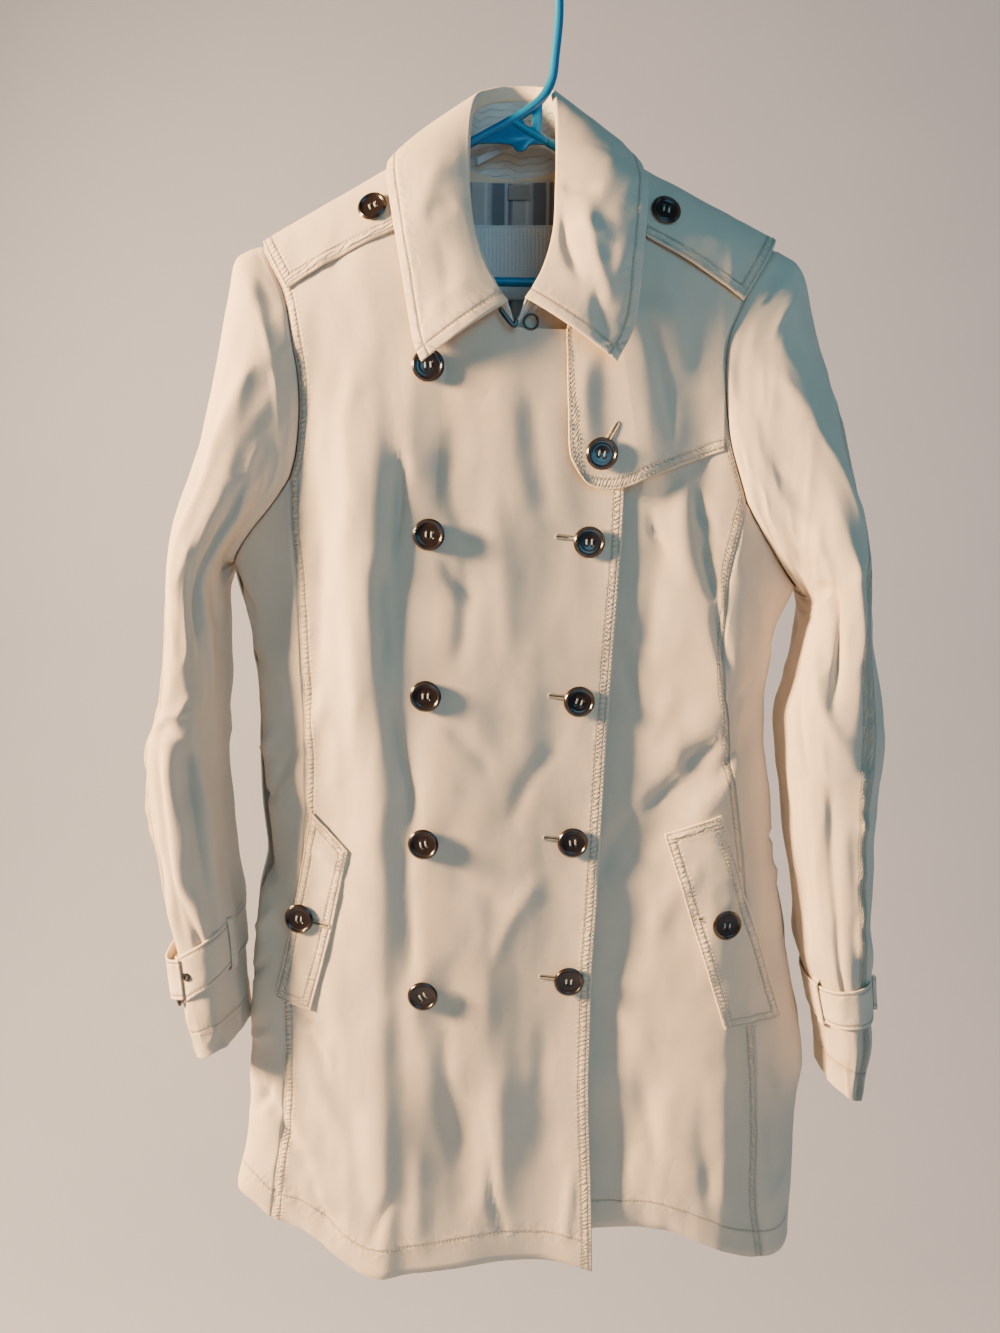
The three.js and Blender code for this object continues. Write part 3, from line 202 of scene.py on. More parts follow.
# The largest folds, which the solids have too: ridges (height above 0) and troughs (below 0)
FOLD_COLUMNS = "x1 z1 x2 z2 width height"
FRONT_FOLDS = table(
    FOLD_COLUMNS,
    (-122, -300, -134, -640, 20, 5),
    (-98, -380, -107, -560, 13, -5),
    (-107, -560, -88, -700, 13, -4),
    (130, -330, 163, -560, 13, -4),
    (170, -600, 66, -740, 16, -5),
    (176, -572, 96, -640, 16, 4),
    (-232, -905, -150, -1050, 20, 5),
    (112, -900, 128, -1060, 22, 4),
    (-60, -860, -40, -1080, 24, -4),
)
BACK_FOLDS = table(
    FOLD_COLUMNS,
    (-120, -330, -150, -720, 24, 5),
    (96, -300, 128, -700, 24, 5),
    (-40, -520, -70, -1040, 26, 5),
    (60, -560, 96, -1050, 26, 5),
    (-190, -620, -100, -760, 20, -4),
)


# %% Place and direction on the trunk
def body(name, z):
    return smooth(BODY["z"], BODY[name], z)


def shoulder_height(x):
    return np.interp(x, SHOULDER_LINE["x"], SHOULDER_LINE["z"])


def columns_of(rows, names, axes):
    """The named columns of a table, each shaped to work on arrays of places with so many axes."""
    return [rows[name][(...,) + (None,) * axes] for name in names.split()]


def furrows(x, z, x1, z1, x2, z2, bow, width, height, skew, ends):
    """The sum of all folds or creases at places x, z.

    Across each one the section is exp(-u^2) * (1 + skew * tanh(2u)), where u is the distance from its
    bowed line over its width. Along it the height eases in and out over the share ends of its length.
    """
    length = np.hypot(x2 - x1, z2 - z1)
    t = ((x - x1) * (x2 - x1) + (z - z1) * (z2 - z1)) / length**2
    across = ((x - x1) * (z2 - z1) - (z - z1) * (x2 - x1)) / length
    u = (across - bow * np.sin(np.pi * np.clip(t, 0, 1))) / width
    section = np.exp(-u * u) * (1 + skew * np.tanh(2 * u))
    return (height * ease(t / ends) * ease((1 - t) / ends) * section).sum(axis=0)


def fold_height(folds, x, z):
    """The large folds: straight, and the same on both flanks."""
    *line, width, height = columns_of(folds, FOLD_COLUMNS, np.ndim(x))
    return furrows(x, z, *line, 0, width, height, 0, 0.35)


def trunk_point(side, angle, z):
    """The trunk's face, as x, y, z.

    x = middle - half width * cos(angle), y = side * (depth + folds) * turn * |sin(angle)|^squareness,
    where turn is a quarter circle that closes the form over the shoulder line. A height above that
    line stands for the same way down on its far side.
    """
    left, right = body("left", z), body("right", z)
    x = (left + right) / 2 - (right - left) / 2 * np.cos(angle)
    below = (shoulder_height(x) - z) / SHOULDER_ROUND
    turn = np.sign(below) * np.sqrt(1 - (1 - np.minimum(np.abs(below), 1)) ** 2)
    rise = np.sign(np.sin(angle)) * np.abs(np.sin(angle)) ** BODY_SQUARENESS
    depth = body("front" if side == FRONT else "back", z)
    depth = depth + fold_height(FRONT_FOLDS if side == FRONT else BACK_FOLDS, x, z)
    height = shoulder_height(x) - SHOULDER_ROUND * np.abs(below)
    return np.stack([x, side * depth * turn * rise, height], axis=-1)


def unit(vectors):
    return vectors / np.maximum(np.linalg.norm(vectors, axis=-1, keepdims=True), 1e-9)


def trunk_normal(side, angle, z):
    """The outward direction: the cross product of two small steps on the trunk's face."""
    step, turn, seam = 0.6, 0.003, 0.5
    across = trunk_point(side, angle + turn, z) - trunk_point(side, angle - turn, z)
    up = trunk_point(side, angle, z + step) - trunk_point(side, angle, z - step)
    normal = np.cross(across, up) * -side
    normal[..., 1] = np.where(np.abs(trunk_point(side, angle, z)[..., 1]) < seam, 0, normal[..., 1])
    return unit(normal)


def round_angle(x, z):
    """The angle round the trunk of a place seen from the front."""
    left, right = body("left", z), body("right", z)
    return np.arccos(np.clip((left + right - 2 * x) / (right - left), -1, 1))


def to_angles(points):
    return np.stack([round_angle(points[:, 0], points[:, 1]), points[:, 1]], axis=-1)


print("trunk depth at the chest:", trunk_point(FRONT, np.array(1.5), np.array(-400.0)).round(1))

# %% [markdown]
# ## Creases that only the eye needs
# On top of the large folds lie the creases that make cloth look worn and hung: long soft drags from
# the shoulder, short ones where the arm bends, a fan of them above the hem. Each is one row of a
# table: from one place to another, with a bow to the side, a width, and a height below nought where
# it sinks. A skewed section makes one flank steeper, as a real crease has. Simulated cloth would not
# put them where the photograph has them.

# %% The creases on the front and the back
CREASE_COLUMNS = "x1 z1 x2 z2 bow width height skew"
FRONT_CREASES = table(
    CREASE_COLUMNS,
    (-100, -372, -108, -470, -4, 5, -2.6, 0.5),
    (-112, -450, -110, -570, 3, 5, -2.4, 0.6),
    (-111, -560, -96, -690, -5, 6, -2.2, 0.5),
    (-98, -660, -95, -830, 2, 7, -1.6, 0.3),
    (-128, -270, -143, -500, 5, 11, 1.8, -0.4),
    (-141, -480, -137, -640, -3, 9, 1.4, -0.4),
    (-160, -420, -176, -600, -6, 8, -1.4, 0.3),
    (-150, -560, -190, -640, 5, 9, 1.2, 0.2),
    (-196, -690, -120, -760, -8, 8, 1.4, 0.3),
    (-200, -640, -150, -700, 5, 7, -1.2, 0.2),
    (-60, -350, -38, -470, 6, 10, -1.0, 0.2),
    (-46, -450, -60, -560, -4, 8, -0.9, 0.2),
    (-20, -400, -8, -560, 3, 12, 1.0, 0.2),
    (8, -330, 20, -440, 3, 9, -1.1, 0.2),
    (-70, -460, -30, -500, 4, 6, -0.9, 0.1),
    (-70, -590, -20, -640, -5, 7, -0.9, 0.2),
    (30, -600, -10, -690, 6, 8, -0.9, 0.2),
    (-74, -712, -10, -760, -4, 8, -0.9, 0.2),
    (28, -720, -30, -800, 6, 9, 0.9, 0.2),
    (-60, -840, -52, -1000, 5, 12, -1.6, 0.3),
    (-20, -860, -26, -1060, -5, 13, 1.3, 0.2),
    (24, -840, 14, -1000, 3, 10, -1.1, 0.2),
    (133, -400, 142, -445, 2, 4.5, -2.6, 0.5),
    (139, -436, 151, -505, 3, 4.5, -2.6, 0.5),
    (148, -494, 160, -560, 2, 5, -2.2, 0.4),
    (118, -400, 128, -500, 3, 9, 1.6, -0.2),
    (100, -420, 92, -560, -5, 10, -1.1, 0.2),
    (158, -606, 126, -644, 3, 5, -2.4, 0.5),
    (130, -640, 92, -676, -3, 6, -2.2, 0.5),
    (98, -668, 60, -738, 3, 7, -1.8, 0.4),
    (176, -640, 128, -690, 4, 8, 1.6, -0.3),
    (150, -700, 100, -790, 6, 10, 1.2, 0.2),
    (190, -600, 150, -660, 4, 6, -1.4, 0.3),
    (120, -560, 90, -620, -3, 8, 1.0, 0.2),
    (190, -700, 170, -830, 4, 8, -1.2, 0.3),
    (-233, -908, -206, -948, 2, 5, -2.4, 0.5),
    (-214, -936, -180, -1004, 4, 6, -2.2, 0.5),
    (-186, -996, -162, -1046, 2, 6, -1.8, 0.4),
    (-190, -880, -150, -960, 5, 10, 1.4, 0.2),
    (-226, -980, -200, -1036, 3, 7, 1.3, 0.2),
    (-150, -900, -120, -1060, 6, 12, -1.4, 0.3),
    (-96, -940, -92, -1070, -3, 9, 1.2, 0.2),
    (104, -880, 124, -1000, 5, 9, -1.4, 0.3),
    (150, -900, 172, -1040, 4, 9, -1.6, 0.3),
    (190, -880, 214, -1000, 4, 8, 1.4, 0.3),
    (96, -960, 90, -1050, -3, 10, 1.3, 0.2),
    (216, -900, 226, -1040, 3, 7, -1.3, 0.3),
    (-246, -470, -214, -520, 3, 4, -1.8, 0.5),
    (-240, -540, -206, -560, -3, 4, -1.6, 0.5),
    (-236, -630, -204, -606, 3, 4, 1.8, -0.4),
    (-238, -668, -206, -650, 2, 3.5, -1.8, 0.5),
    (-240, -712, -208, -742, -4, 4, -2.0, 0.5),
    (-236, -790, -208, -760, 3, 4, 1.8, -0.4),
    (-244, -830, -212, -806, -3, 3.5, -1.9, 0.5),
    (-242, -880, -210, -862, 3, 4, 1.7, -0.4),
    (-246, -950, -214, -900, 4, 4, -1.8, 0.5),
    (-196, -842, -160, -866, 3, 3.5, -1.5, 0.5),
    (-190, -862, -166, -900, -2, 3.5, -1.6, 0.4),
    (-184, -1000, -160, -1036, 2, 3.5, 1.4, -0.4),
    (-212, -650, -176, -612, -3, 4, -1.5, 0.4),
    (-150, -560, -128, -580, 2, 3.5, -1.2, 0.4),
    (232, -560, 198, -536, 3, 4, -1.8, 0.5),
    (234, -600, 196, -584, -3, 4, 1.7, -0.4),
    (238, -650, 194, -628, 3, 3.5, -2.0, 0.5),
    (236, -690, 192, -700, -3, 4, -1.8, 0.5),
    (230, -742, 196, -716, 3, 4, 1.6, -0.4),
    (228, -930, 200, -900, 3, 4, -1.6, 0.5),
    (234, -1000, 206, -1030, -3, 4, 1.5, -0.4),
    (186, -560, 160, -590, 3, 3.5, -1.4, 0.4),
    (96, -430, 112, -470, 2, 4, -1.3, 0.4),
    (70, -520, 92, -600, -3, 5, -1.2, 0.3),
    (-30, -960, -14, -1050, 3, 5, -1.5, 0.4),
    (-110, -1000, -128, -1060, 2, 4.5, -1.4, 0.4),
    (40, -980, 34, -1060, -2, 4.5, 1.2, -0.3),
)
BACK_CREASES = table(
    CREASE_COLUMNS,
    (-150, -300, -160, -520, 5, 9, -1.8, 0.4),
    (-100, -380, -124, -640, -6, 8, -1.6, 0.4),
    (-30, -240, -44, -420, 4, 12, 1.2, 0.2),
    (20, -250, 36, -400, -4, 11, -1.2, 0.2),
    (120, -320, 140, -540, 5, 8, -1.8, 0.4),
    (160, -380, 172, -560, 4, 8, 1.4, 0.3),
    (-196, -610, -120, -690, 6, 7, -2.0, 0.5),
    (-180, -660, -90, -760, 5, 9, 1.4, 0.2),
    (176, -600, 108, -690, -6, 7, -1.8, 0.4),
    (150, -700, 80, -800, -5, 10, 1.2, 0.2),
    (-10, -560, -20, -900, 6, 12, -1.4, 0.3),
    (40, -700, 60, -1000, 5, 12, 1.2, 0.2),
    (-90, -800, -110, -1030, -6, 11, -1.6, 0.3),
    (-160, -860, -190, -1030, 5, 12, 1.4, 0.2),
    (120, -860, 150, -1040, 6, 11, -1.6, 0.3),
    (190, -900, 210, -1040, 4, 9, 1.2, 0.2),
)


# %% How the trunk's cloth is worn
def crease_height(creases, x, z):
    return furrows(x, z, *columns_of(creases, CREASE_COLUMNS, np.ndim(x)), 0.33)


# How the cloth hangs between the ridges under the shoulders, from the left to the right
DRAPE_X = np.linspace(-260, 250, 103)
DRAPE_Y = {
    FRONT: smooth([-260, -200, -160, -122, -104, -60, 0, 62, 120, 166, 184, 212, 250],
                  [-3, -1.5, 4, 9, 5, 1.5, -4, -10, -1, 8, 4, 0, -3], DRAPE_X),
    BACK: smooth([-260, -170, -60, 30, 120, 250], [-2, 5, -3, 4, -4, 2], DRAPE_X),
}


# Crumples of the trunk, large ones first: height, size across, size down and seed
TRUNK_CRUMPLES = ((2.8, 62, 120, 21), (1.5, 34, 52, 23), (0.7, 16, 24, 25))
CREASE_GAIN = 1.7
MIDDLE_LINE, CALM_HALF = -20, 60


def crumples(u, v, seed):
    """Hollow facets with ridges between: 0.5 - 1.4 * sqrt(noise^2 + 0.006)."""
    return 0.5 - np.sqrt(unevenness(u, v, seed) ** 2 + 0.006) * 1.4


def trunk_relief(side, x, z):
    """Creases, crumples, swells and sag of the cloth, fading out where it lies on the hanger.

    The smaller crumples are strongest at the sides: the middle of the front and back is calmer.
    """
    creases = FRONT_CREASES if side == FRONT else BACK_CREASES
    drift_x = x + 5 * unevenness(x / 45, z / 60, 3 + side)
    drift_z = z + 6 * unevenness(x / 50, z / 45, 7 + side)
    swell = 1.5 * unevenness(x / 50, z / 110, 11 + side) + 0.6 * unevenness(x / 21, z / 46, 15 + side)
    fade = ease((shoulder_height(x) - z) / 60)
    plane, large, small = [height * crumples(drift_x / across, drift_z / down, seed + side)
                           for height, across, down, seed in TRUNK_CRUMPLES]
    at_sides = ease((np.abs(x - MIDDLE_LINE) - CALM_HALF) / 110)
    worn = 0.25 + 0.75 * at_sides * (1 + 0.3 * unevenness(x / 90, z / 130, 29 + side))
    sag = np.interp(x, DRAPE_X, DRAPE_Y[side]) * ease((-250 - z) / 160)
    crease = CREASE_GAIN * crease_height(creases, drift_x, drift_z)
    return fade * (crease + swell + plane + (large + small) * worn + sag)


print("creases placed by hand on the trunk:", len(FRONT_CREASES["x1"]) + len(BACK_CREASES["x1"]))

# %% [markdown]
# ## Writing shader maths as arithmetic
# A material is a formula for colour, gloss and bumps at each place. Wired by hand, such a formula is
# a tangle of nodes. A small class wraps a node's output instead, so that plain arithmetic on it adds
# the Math nodes, and one method adds any other node.

# %% Values and paints
class Value:
    """A number at each place of a surface. Arithmetic with it adds Math nodes."""

    def __init__(self, paint, socket):
        self.paint, self.socket = paint, socket

    def math(self, operation, first, second):
        node = self.paint.node("ShaderNodeMath", {"operation": operation}, {0: first, 1: second})
        return Value(self.paint, node.outputs[0])

    def __add__(self, other):
        return self.math("ADD", self, other)

    def __sub__(self, other):
        return self.math("SUBTRACT", self, other)

    def __rsub__(self, other):
        return self.math("SUBTRACT", other, self)

    def __mul__(self, other):
        return self.math("MULTIPLY", self, other)

    def __truediv__(self, other):
        return self.math("DIVIDE", self, other)

    def __rtruediv__(self, other):
        return self.math("DIVIDE", other, self)

    def __pow__(self, other):
        return self.math("POWER", self, other)

    def __abs__(self):
        return self.math("ABSOLUTE", self, 0)

    __radd__, __rmul__ = __add__, __mul__

    def clipped(self):
        return self.math("MAXIMUM", self.math("MINIMUM", self, 1), 0)

    def wave(self, length):
        """sin(2 pi value / length)."""
        return self.math("SINE", self * (2 * math.pi / length), 0)


class Paint:
    """A material in the making, over Blender's standard surface shader."""

    def __init__(self, name, **constants):
        self.material = bpy.data.materials.new(name)
        self.material.use_nodes = True
        self.tree = self.material.node_tree
        self.surface = self.tree.nodes["Principled BSDF"]
        for socket, value in constants.items():
            self.surface.inputs[socket.replace("_", " ")].default_value = value

    def node(self, kind, settings=None, inputs=None):
        node = self.tree.nodes.new(kind)
        for setting, value in (settings or {}).items():
            setattr(node, setting, value)
        for socket, value in (inputs or {}).items():
            self.feed(node.inputs[socket], value)
        return node

    def feed(self, socket, value):
        if isinstance(value, Value):
            self.tree.links.new(value.socket, socket)
        else:
            socket.default_value = value

    def out(self, node, socket=0):
        return Value(self, node.outputs[socket])

    def place(self):
        """The place on the object, in metres."""
        return self.out(self.node("ShaderNodeTexCoord"), "Object")

    def attribute(self, name, part="Fac"):
        return self.out(self.node("ShaderNodeAttribute", {"attribute_name": name}), part)

    def parts(self, vector):
        node = self.node("ShaderNodeSeparateXYZ", None, {0: vector})
        return [Value(self, socket) for socket in node.outputs]

    def noise(self, size, at=None, detail=3, stretch=(1, 1, 1)):
        """Noise from 0 to 1 whose features are about size across, in the units of the place."""
        at = self.place() if at is None else at
        mapping = self.node("ShaderNodeMapping", None, {"Vector": at, "Scale": stretch})
        settings = {"noise_dimensions": "3D"}
        inputs = {"Vector": self.out(mapping), "Scale": 1 / size, "Detail": detail}
        return self.out(self.node("ShaderNodeTexNoise", settings, inputs))

    def blend(self, factor, first, second):
        """first where factor is 0, second where it is 1: for colours, as r, g, b, 1."""
        inputs = {0: factor, 6: first, 7: second}
        return self.out(self.node("ShaderNodeMix", {"data_type": "RGBA"}, inputs), 2)

    def bump(self, height, distance, strength=1.0, under=None):
        inputs = {"Height": height, "Distance": distance, "Strength": strength}
        if under is not None:
            inputs["Normal"] = under
        return self.out(self.node("ShaderNodeBump", None, inputs))

    def finish(self, **sockets):
        for socket, value in sockets.items():
            self.feed(self.surface.inputs[socket.replace("_", " ")], value)
        return self.material


# %% [markdown]
# ## The coat's cloth
# The coat is cotton gabardine: a fine steep twill, matt with a faint sheen. Its fine ribs follow the
# cloth and not the room, so they are drawn on an attribute that holds each place's distance along and
# across the piece. Two more attributes hold the distance from the stitched edges. The cloth sinks
# into a groove along each row of stitches and gathers a little beside it. The colour is slightly
# uneven, as in washed cotton, and paler where an edge has rubbed. It is also painted darker in the
# stitch grooves and lighter and darker along the gathers between the rows: painted shade and light
# that goes with those bumps.

# %% Cloth
ROW_NEAR, ROW_FAR = 2, 8
ROW_MIDDLE = (ROW_NEAR + ROW_FAR) / 2


def cloth_paint(name, colour, rib=0.9, quilted=False):
    paint = Paint(name, Sheen_Weight=0.18, Sheen_Roughness=0.45, Specular_IOR_Level=0.32)
    weave = paint.attribute("weave", "Vector")
    across, up, _ = paint.parts(weave)
    stitched, single, rub = paint.parts(paint.attribute("sewn", "Vector"))
    cloud = paint.noise(0.07, detail=4)
    fleck = paint.noise(1.6, at=weave, detail=2, stretch=(1, 0.35, 1))
    twill = (across * 0.9 + up * 1.5).wave(rib)
    yarn = (across * 1.6 - up * 0.5).wave(rib * 0.83)
    rows = [stitched - ROW_NEAR, stitched - ROW_FAR, single]
    near, far, alone = [1 / (1 + distance**2 * 1.6) for distance in rows]
    # Near the stitch rows: it sinks the bump and darkens the colour, which is painted shade in the grooves.
    groove = near + far + alone
    gather = paint.noise(5.5, at=weave, detail=2)
    between = 1 / (1 + (stitched - ROW_MIDDLE) ** 4 * 0.004)
    beside = between + 1 / (1 + single**2 * 0.03)
    # Waves along the gathers between the rows: they raise the bump and lighten and darken the colour, which
    # is painted light and shade.
    ladder = (up + paint.noise(11, at=weave, detail=2) * 9).wave(4.2) * between
    wrinkle = paint.noise(0.016, detail=3, stretch=(1, 1, 0.45))
    worn = (paint.noise(0.11, detail=2) * 3 - 0.9).clipped()
    facet = abs(paint.noise(0.052, detail=1, stretch=(1, 1, 0.55)) * 2 - 1)
    small = abs(paint.noise(0.022, detail=1, stretch=(1.2, 1, 0.7)) * 2 - 1)
    # Random unevenness, rubbed edges and the weave are the cloth's own colour; the groove and ladder terms
    # are painted shade and light.
    tone = (0.35 + cloud * 0.75 + fleck * 0.22 - groove * 0.55 + ladder * 0.12 + rub * 0.25).clipped()
    deep = tuple(c * d for c, d in zip(colour, (0.80, 0.79, 0.77))) + (1,)
    pale = tuple(min(c * 1.12, 1) for c in colour) + (1,)
    fine = paint.bump(twill * 0.5 + yarn * 0.3 + fleck * 0.8, 0.00016, 0.7)
    sewn = paint.bump(beside * gather * 1.4 + ladder * 0.34 - groove, 0.0013, 0.9, fine)
    height = wrinkle * 0.3 + facet * (0.8 + worn * 1.4) + small * worn * 0.8
    if quilted:
        wavy = up + across.wave(46) * 1.6 + across.wave(19) * 0.8
        row = abs(wavy.wave(11))
        height = wrinkle * 0.4 + (1 - (1 - row) ** 8) * 2.4
        # Darker in each furrow of the quilting: painted shade.
        tone = (tone - (1 - row) ** 10 * 0.6).clipped()
    soft = paint.bump(height, 0.0012, 0.55, sewn)
    return paint.finish(
        Base_Color=paint.blend(tone, deep, pale),
        Roughness=0.66 + fleck * 0.12 + cloud * 0.06,
        Normal=soft,
    )


# %% Plain finishes, lining and tapes
def plain_paint(name, dark, pale, rough, size, detail=3, bump=0.0, stretch=(1, 1, 1), **constants):
    """A finish whose colour and gloss wander between two values over features of one size."""
    paint = Paint(name, **constants)
    wander = paint.noise(size, detail=detail, stretch=stretch)
    fine = paint.noise(size / 9, detail=2, stretch=stretch)
    sockets = {
        "Base_Color": paint.blend((wander * 0.8 + fine * 0.3).clipped(), dark + (1,), pale + (1,)),
        "Roughness": rough + wander * 0.08 + fine * 0.06,
    }
    if bump:
        sockets["Normal"] = paint.bump(fine + wander * 0.6, bump, 0.7)
    return paint.finish(**sockets)


def lining_paint():
    """A smooth lining with soft vertical bands in greys."""
    paint = Paint("lining", Sheen_Weight=0.1, Specular_IOR_Level=0.4)
    across, up, _ = paint.parts(paint.attribute("weave", "Vector"))
    sway = paint.noise(0.05)
    band = ((across + sway * 3).wave(34) * 2.2 + 0.5).clipped()
    thin = ((across + sway * 3 + 9).wave(17) * 5 - 3.9).clipped()
    weave = across.wave(0.8) * 0.5 + up.wave(0.8) * 0.5
    cool = paint.blend(band, (0.125, 0.145, 0.180, 1), (0.42, 0.42, 0.42, 1))
    lined = paint.blend(thin * 0.7, cool, (0.62, 0.63, 0.65, 1))
    return paint.finish(
        Base_Color=paint.blend(sway * 0.3, lined, (0.20, 0.21, 0.22, 1)),
        Roughness=0.5 + sway * 0.14,
        Normal=paint.bump(weave + sway * 4, 0.00025, 0.6),
    )


def herringbone_paint(name, dark, pale, width, rib):
    """A woven tape: twill whose slant turns back every width."""
    paint = Paint(name, Specular_IOR_Level=0.3)
    across, up, _ = paint.parts(paint.attribute("weave", "Vector"))
    slant = abs(across.wave(2 * width)) * width * 0.8
    twill = (up + slant).wave(rib)
    soil = paint.noise(0.01, detail=3)
    return paint.finish(
        Base_Color=paint.blend((twill * 0.35 + 0.3 + soil * 0.5).clipped(), dark + (1,), pale + (1,)),
        Roughness=0.72 + soil * 0.14,
        Normal=paint.bump(twill + soil, 0.0003, 0.7),
    )


# %% The finishes
GABARDINE = cloth_paint("gabardine", (0.690, 0.578, 0.448))
QUILTED = cloth_paint("quilted stand", (0.56, 0.585, 0.580), quilted=True)
LINING = lining_paint()
LABEL = herringbone_paint("woven label", (0.62, 0.66, 0.69), (0.86, 0.89, 0.90), 3.2, 1.1)
SIZE_TAPE = herringbone_paint("ribbed tape", (0.16, 0.16, 0.155), (0.50, 0.49, 0.46), 40, 1.3)
THREAD = plain_paint("sewing thread", (0.40, 0.325, 0.225), (0.60, 0.51, 0.38), 0.62, 0.002)
DARK_THREAD = plain_paint("buttonhole thread", (0.40, 0.33, 0.235), (0.62, 0.53, 0.40), 0.66, 0.0016)
GREY_THREAD = plain_paint("button thread", (0.34, 0.33, 0.31), (0.60, 0.59, 0.56), 0.6, 0.001)
BUTTON = plain_paint(
    "button", (0.007, 0.005, 0.005), (0.022, 0.014, 0.012), 0.14, 0.006, bump=0.00004, Coat_Weight=0.5
)
METAL = plain_paint(
    "dark metal", (0.035, 0.034, 0.034), (0.095, 0.092, 0.09), 0.24, 0.004, bump=0.00005, Metallic=0.9
)
HANGER_PLASTIC = plain_paint(
    "blue plastic", (0.002, 0.135, 0.30), (0.004, 0.20, 0.42), 0.24, 0.012, bump=0.00006, Coat_Weight=0.2
)

# %% [markdown]
# ## From a grid of points to a piece of cloth
# A cloth piece is a thin shell: an outer face on a grid of points, an inner face one thickness in, and
# a rim that rounds the cut edge between them. A Solidify modifier makes such a shell too, but here the
# rim, the directions of the faces and the attributes for the material are all in hand.

# %% Grids, their directions and their lengths
def grid_normals(grid, closed):
    """Directions square to a grid: the cross product of its steps along rows and columns."""
    if closed:
        across = np.roll(grid, -1, axis=1) - np.roll(grid, 1, axis=1)
    else:
        across = np.gradient(grid, axis=1)
    return unit(np.cross(across, np.gradient(grid, axis=0)))


def towards(normals, guide):
    """The same directions, turned to the side that guide points to."""
    return normals if np.sum(normals * guide) > 0 else -normals


def grid_lengths(grid, axis):
    """The distance along a grid's lines from their start, at every point."""
    pieces = np.linalg.norm(np.diff(grid, axis=axis), axis=-1)
    start = np.zeros_like(np.take(pieces, [0], axis=axis))
    return np.concatenate([start, np.cumsum(pieces, axis=axis)], axis=axis)


def edge_distances(grid):
    """How far each point of a grid lies from its left, right, bottom and top edges."""
    across, up = grid_lengths(grid, 1), grid_lengths(grid, 0)
    return {"left": across, "right": across[:, -1:] - across, "bottom": up, "top": up[-1:] - up}


# %% Objects
def finished(obj, material, node=None):
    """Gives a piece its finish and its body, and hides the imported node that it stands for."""
    obj.data.materials.append(material)
    obj.data.shade_smooth()
    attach(obj, "root")
    if node is not None:
        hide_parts(node)
    return obj


def mesh_object(name, points, faces):
    """An object at the origin from points in millimetres and arrays of faces."""
    mesh = bpy.data.meshes.new(name)
    mesh.from_pydata((np.concatenate(points) * MM).tolist(), [], [f for a in faces for f in a.tolist()])
    mesh.update()
    obj = bpy.data.objects.new(name, mesh)
    bpy.context.collection.objects.link(obj)
    return obj


def write_attribute(obj, name, vectors):
    attribute = obj.data.attributes.new(name, "FLOAT_VECTOR", "POINT")
    attribute.data.foreach_set("vector", np.ascontiguousarray(vectors, dtype=np.float32).ravel())


# %% Shells
def quads(rows, cols, closed):
    """The faces of a grid, as four corner numbers each."""
    r, c = np.meshgrid(np.arange(rows - 1), np.arange(cols if closed else cols - 1), indexing="ij")
    after = (c + 1) % cols
    corners = [r * cols + c, r * cols + after, (r + 1) * cols + after, (r + 1) * cols + c]
    return np.stack([corner.ravel() for corner in corners], axis=-1)


def rims(rows, cols, closed):
    """The point numbers round each open edge of a grid, in the order of its faces' corners."""
    ids = np.arange(rows * cols).reshape(rows, cols)
    if closed:
        return [ids[0], ids[-1][::-1]]
    return [np.concatenate([ids[0, :-1], ids[:-1, -1], ids[-1, :0:-1], ids[:0:-1, 0]])]


def shell(name, outer, normals, weave, sewn, thickness=CLOTH, closed=False):
    """A cloth shell: outer face, inner face one thickness in, and a rounded rim between."""
    rows, cols, _ = outer.shape
    count = rows * cols
    flat, out = outer.reshape(-1, 3), normals.reshape(-1, 3)
    inner = flat - out * thickness
    face = quads(rows, cols, closed)
    facing = np.cross(flat[face[:, 1]] - flat[face[:, 0]], flat[face[:, 3]] - flat[face[:, 0]])
    points, faces = [flat, inner], [face, face[:, ::-1] + count]
    sources = [np.arange(count), np.arange(count)]
    total = 2 * count
    for rim in rims(rows, cols, closed):
        beyond = unit(np.cross(np.roll(flat[rim], -1, axis=0) - np.roll(flat[rim], 1, axis=0), out[rim]))
        sign = 1 if np.sum(facing * out[face[:, 0]]) > 0 else -1
        points.append((flat[rim] + inner[rim]) / 2 + beyond * 0.3 * thickness * sign)
        middle, following = total + np.arange(len(rim)), total + np.roll(np.arange(len(rim)), -1)
        ahead = np.roll(rim, -1)
        faces.append(np.stack([ahead, rim, middle, following], axis=-1))
        faces.append(np.stack([following, middle, rim + count, ahead + count], axis=-1))
        sources.append(rim)
        total += len(rim)
    if np.sum(facing * out[face[:, 0]]) < 0:
        faces = [f[:, ::-1] for f in faces]
    obj = mesh_object(name, points, faces)
    source = np.concatenate(sources)
    write_attribute(obj, "weave", weave.reshape(-1, 3)[source])
    write_attribute(obj, "sewn", sewn.reshape(-1, 3)[source])
    return obj


# %% Weave and cut of a piece
LEAST_WIDTH = 0.0101


def weave_of(grid):
    """Distances across and up the cloth from the middle of its grid, for the weave."""
    across, up = grid_lengths(grid, 1), grid_lengths(grid, 0)
    across = across - across[:, [grid.shape[1] // 2]]
    up = up - up[[grid.shape[0] // 2]]
    return np.stack([across, up, np.zeros_like(up)], axis=-1)


def cut_size(grid, closed=False):
    """(width, length, area) in metres of the flat piece that this grid was cut from."""
    ring = np.concatenate([grid, grid[:, :1]], axis=1) if closed else grid
    a, b = np.diff(ring, axis=1)[:-1], np.diff(ring, axis=0)[:, :-1]
    area = np.linalg.norm(np.cross(a, b), axis=-1).sum() * MM * MM
    width = grid_lengths(ring, 1)[:, -1].max() * MM
    length = grid_lengths(ring, 0)[-1].max() * MM
    return width, length, area


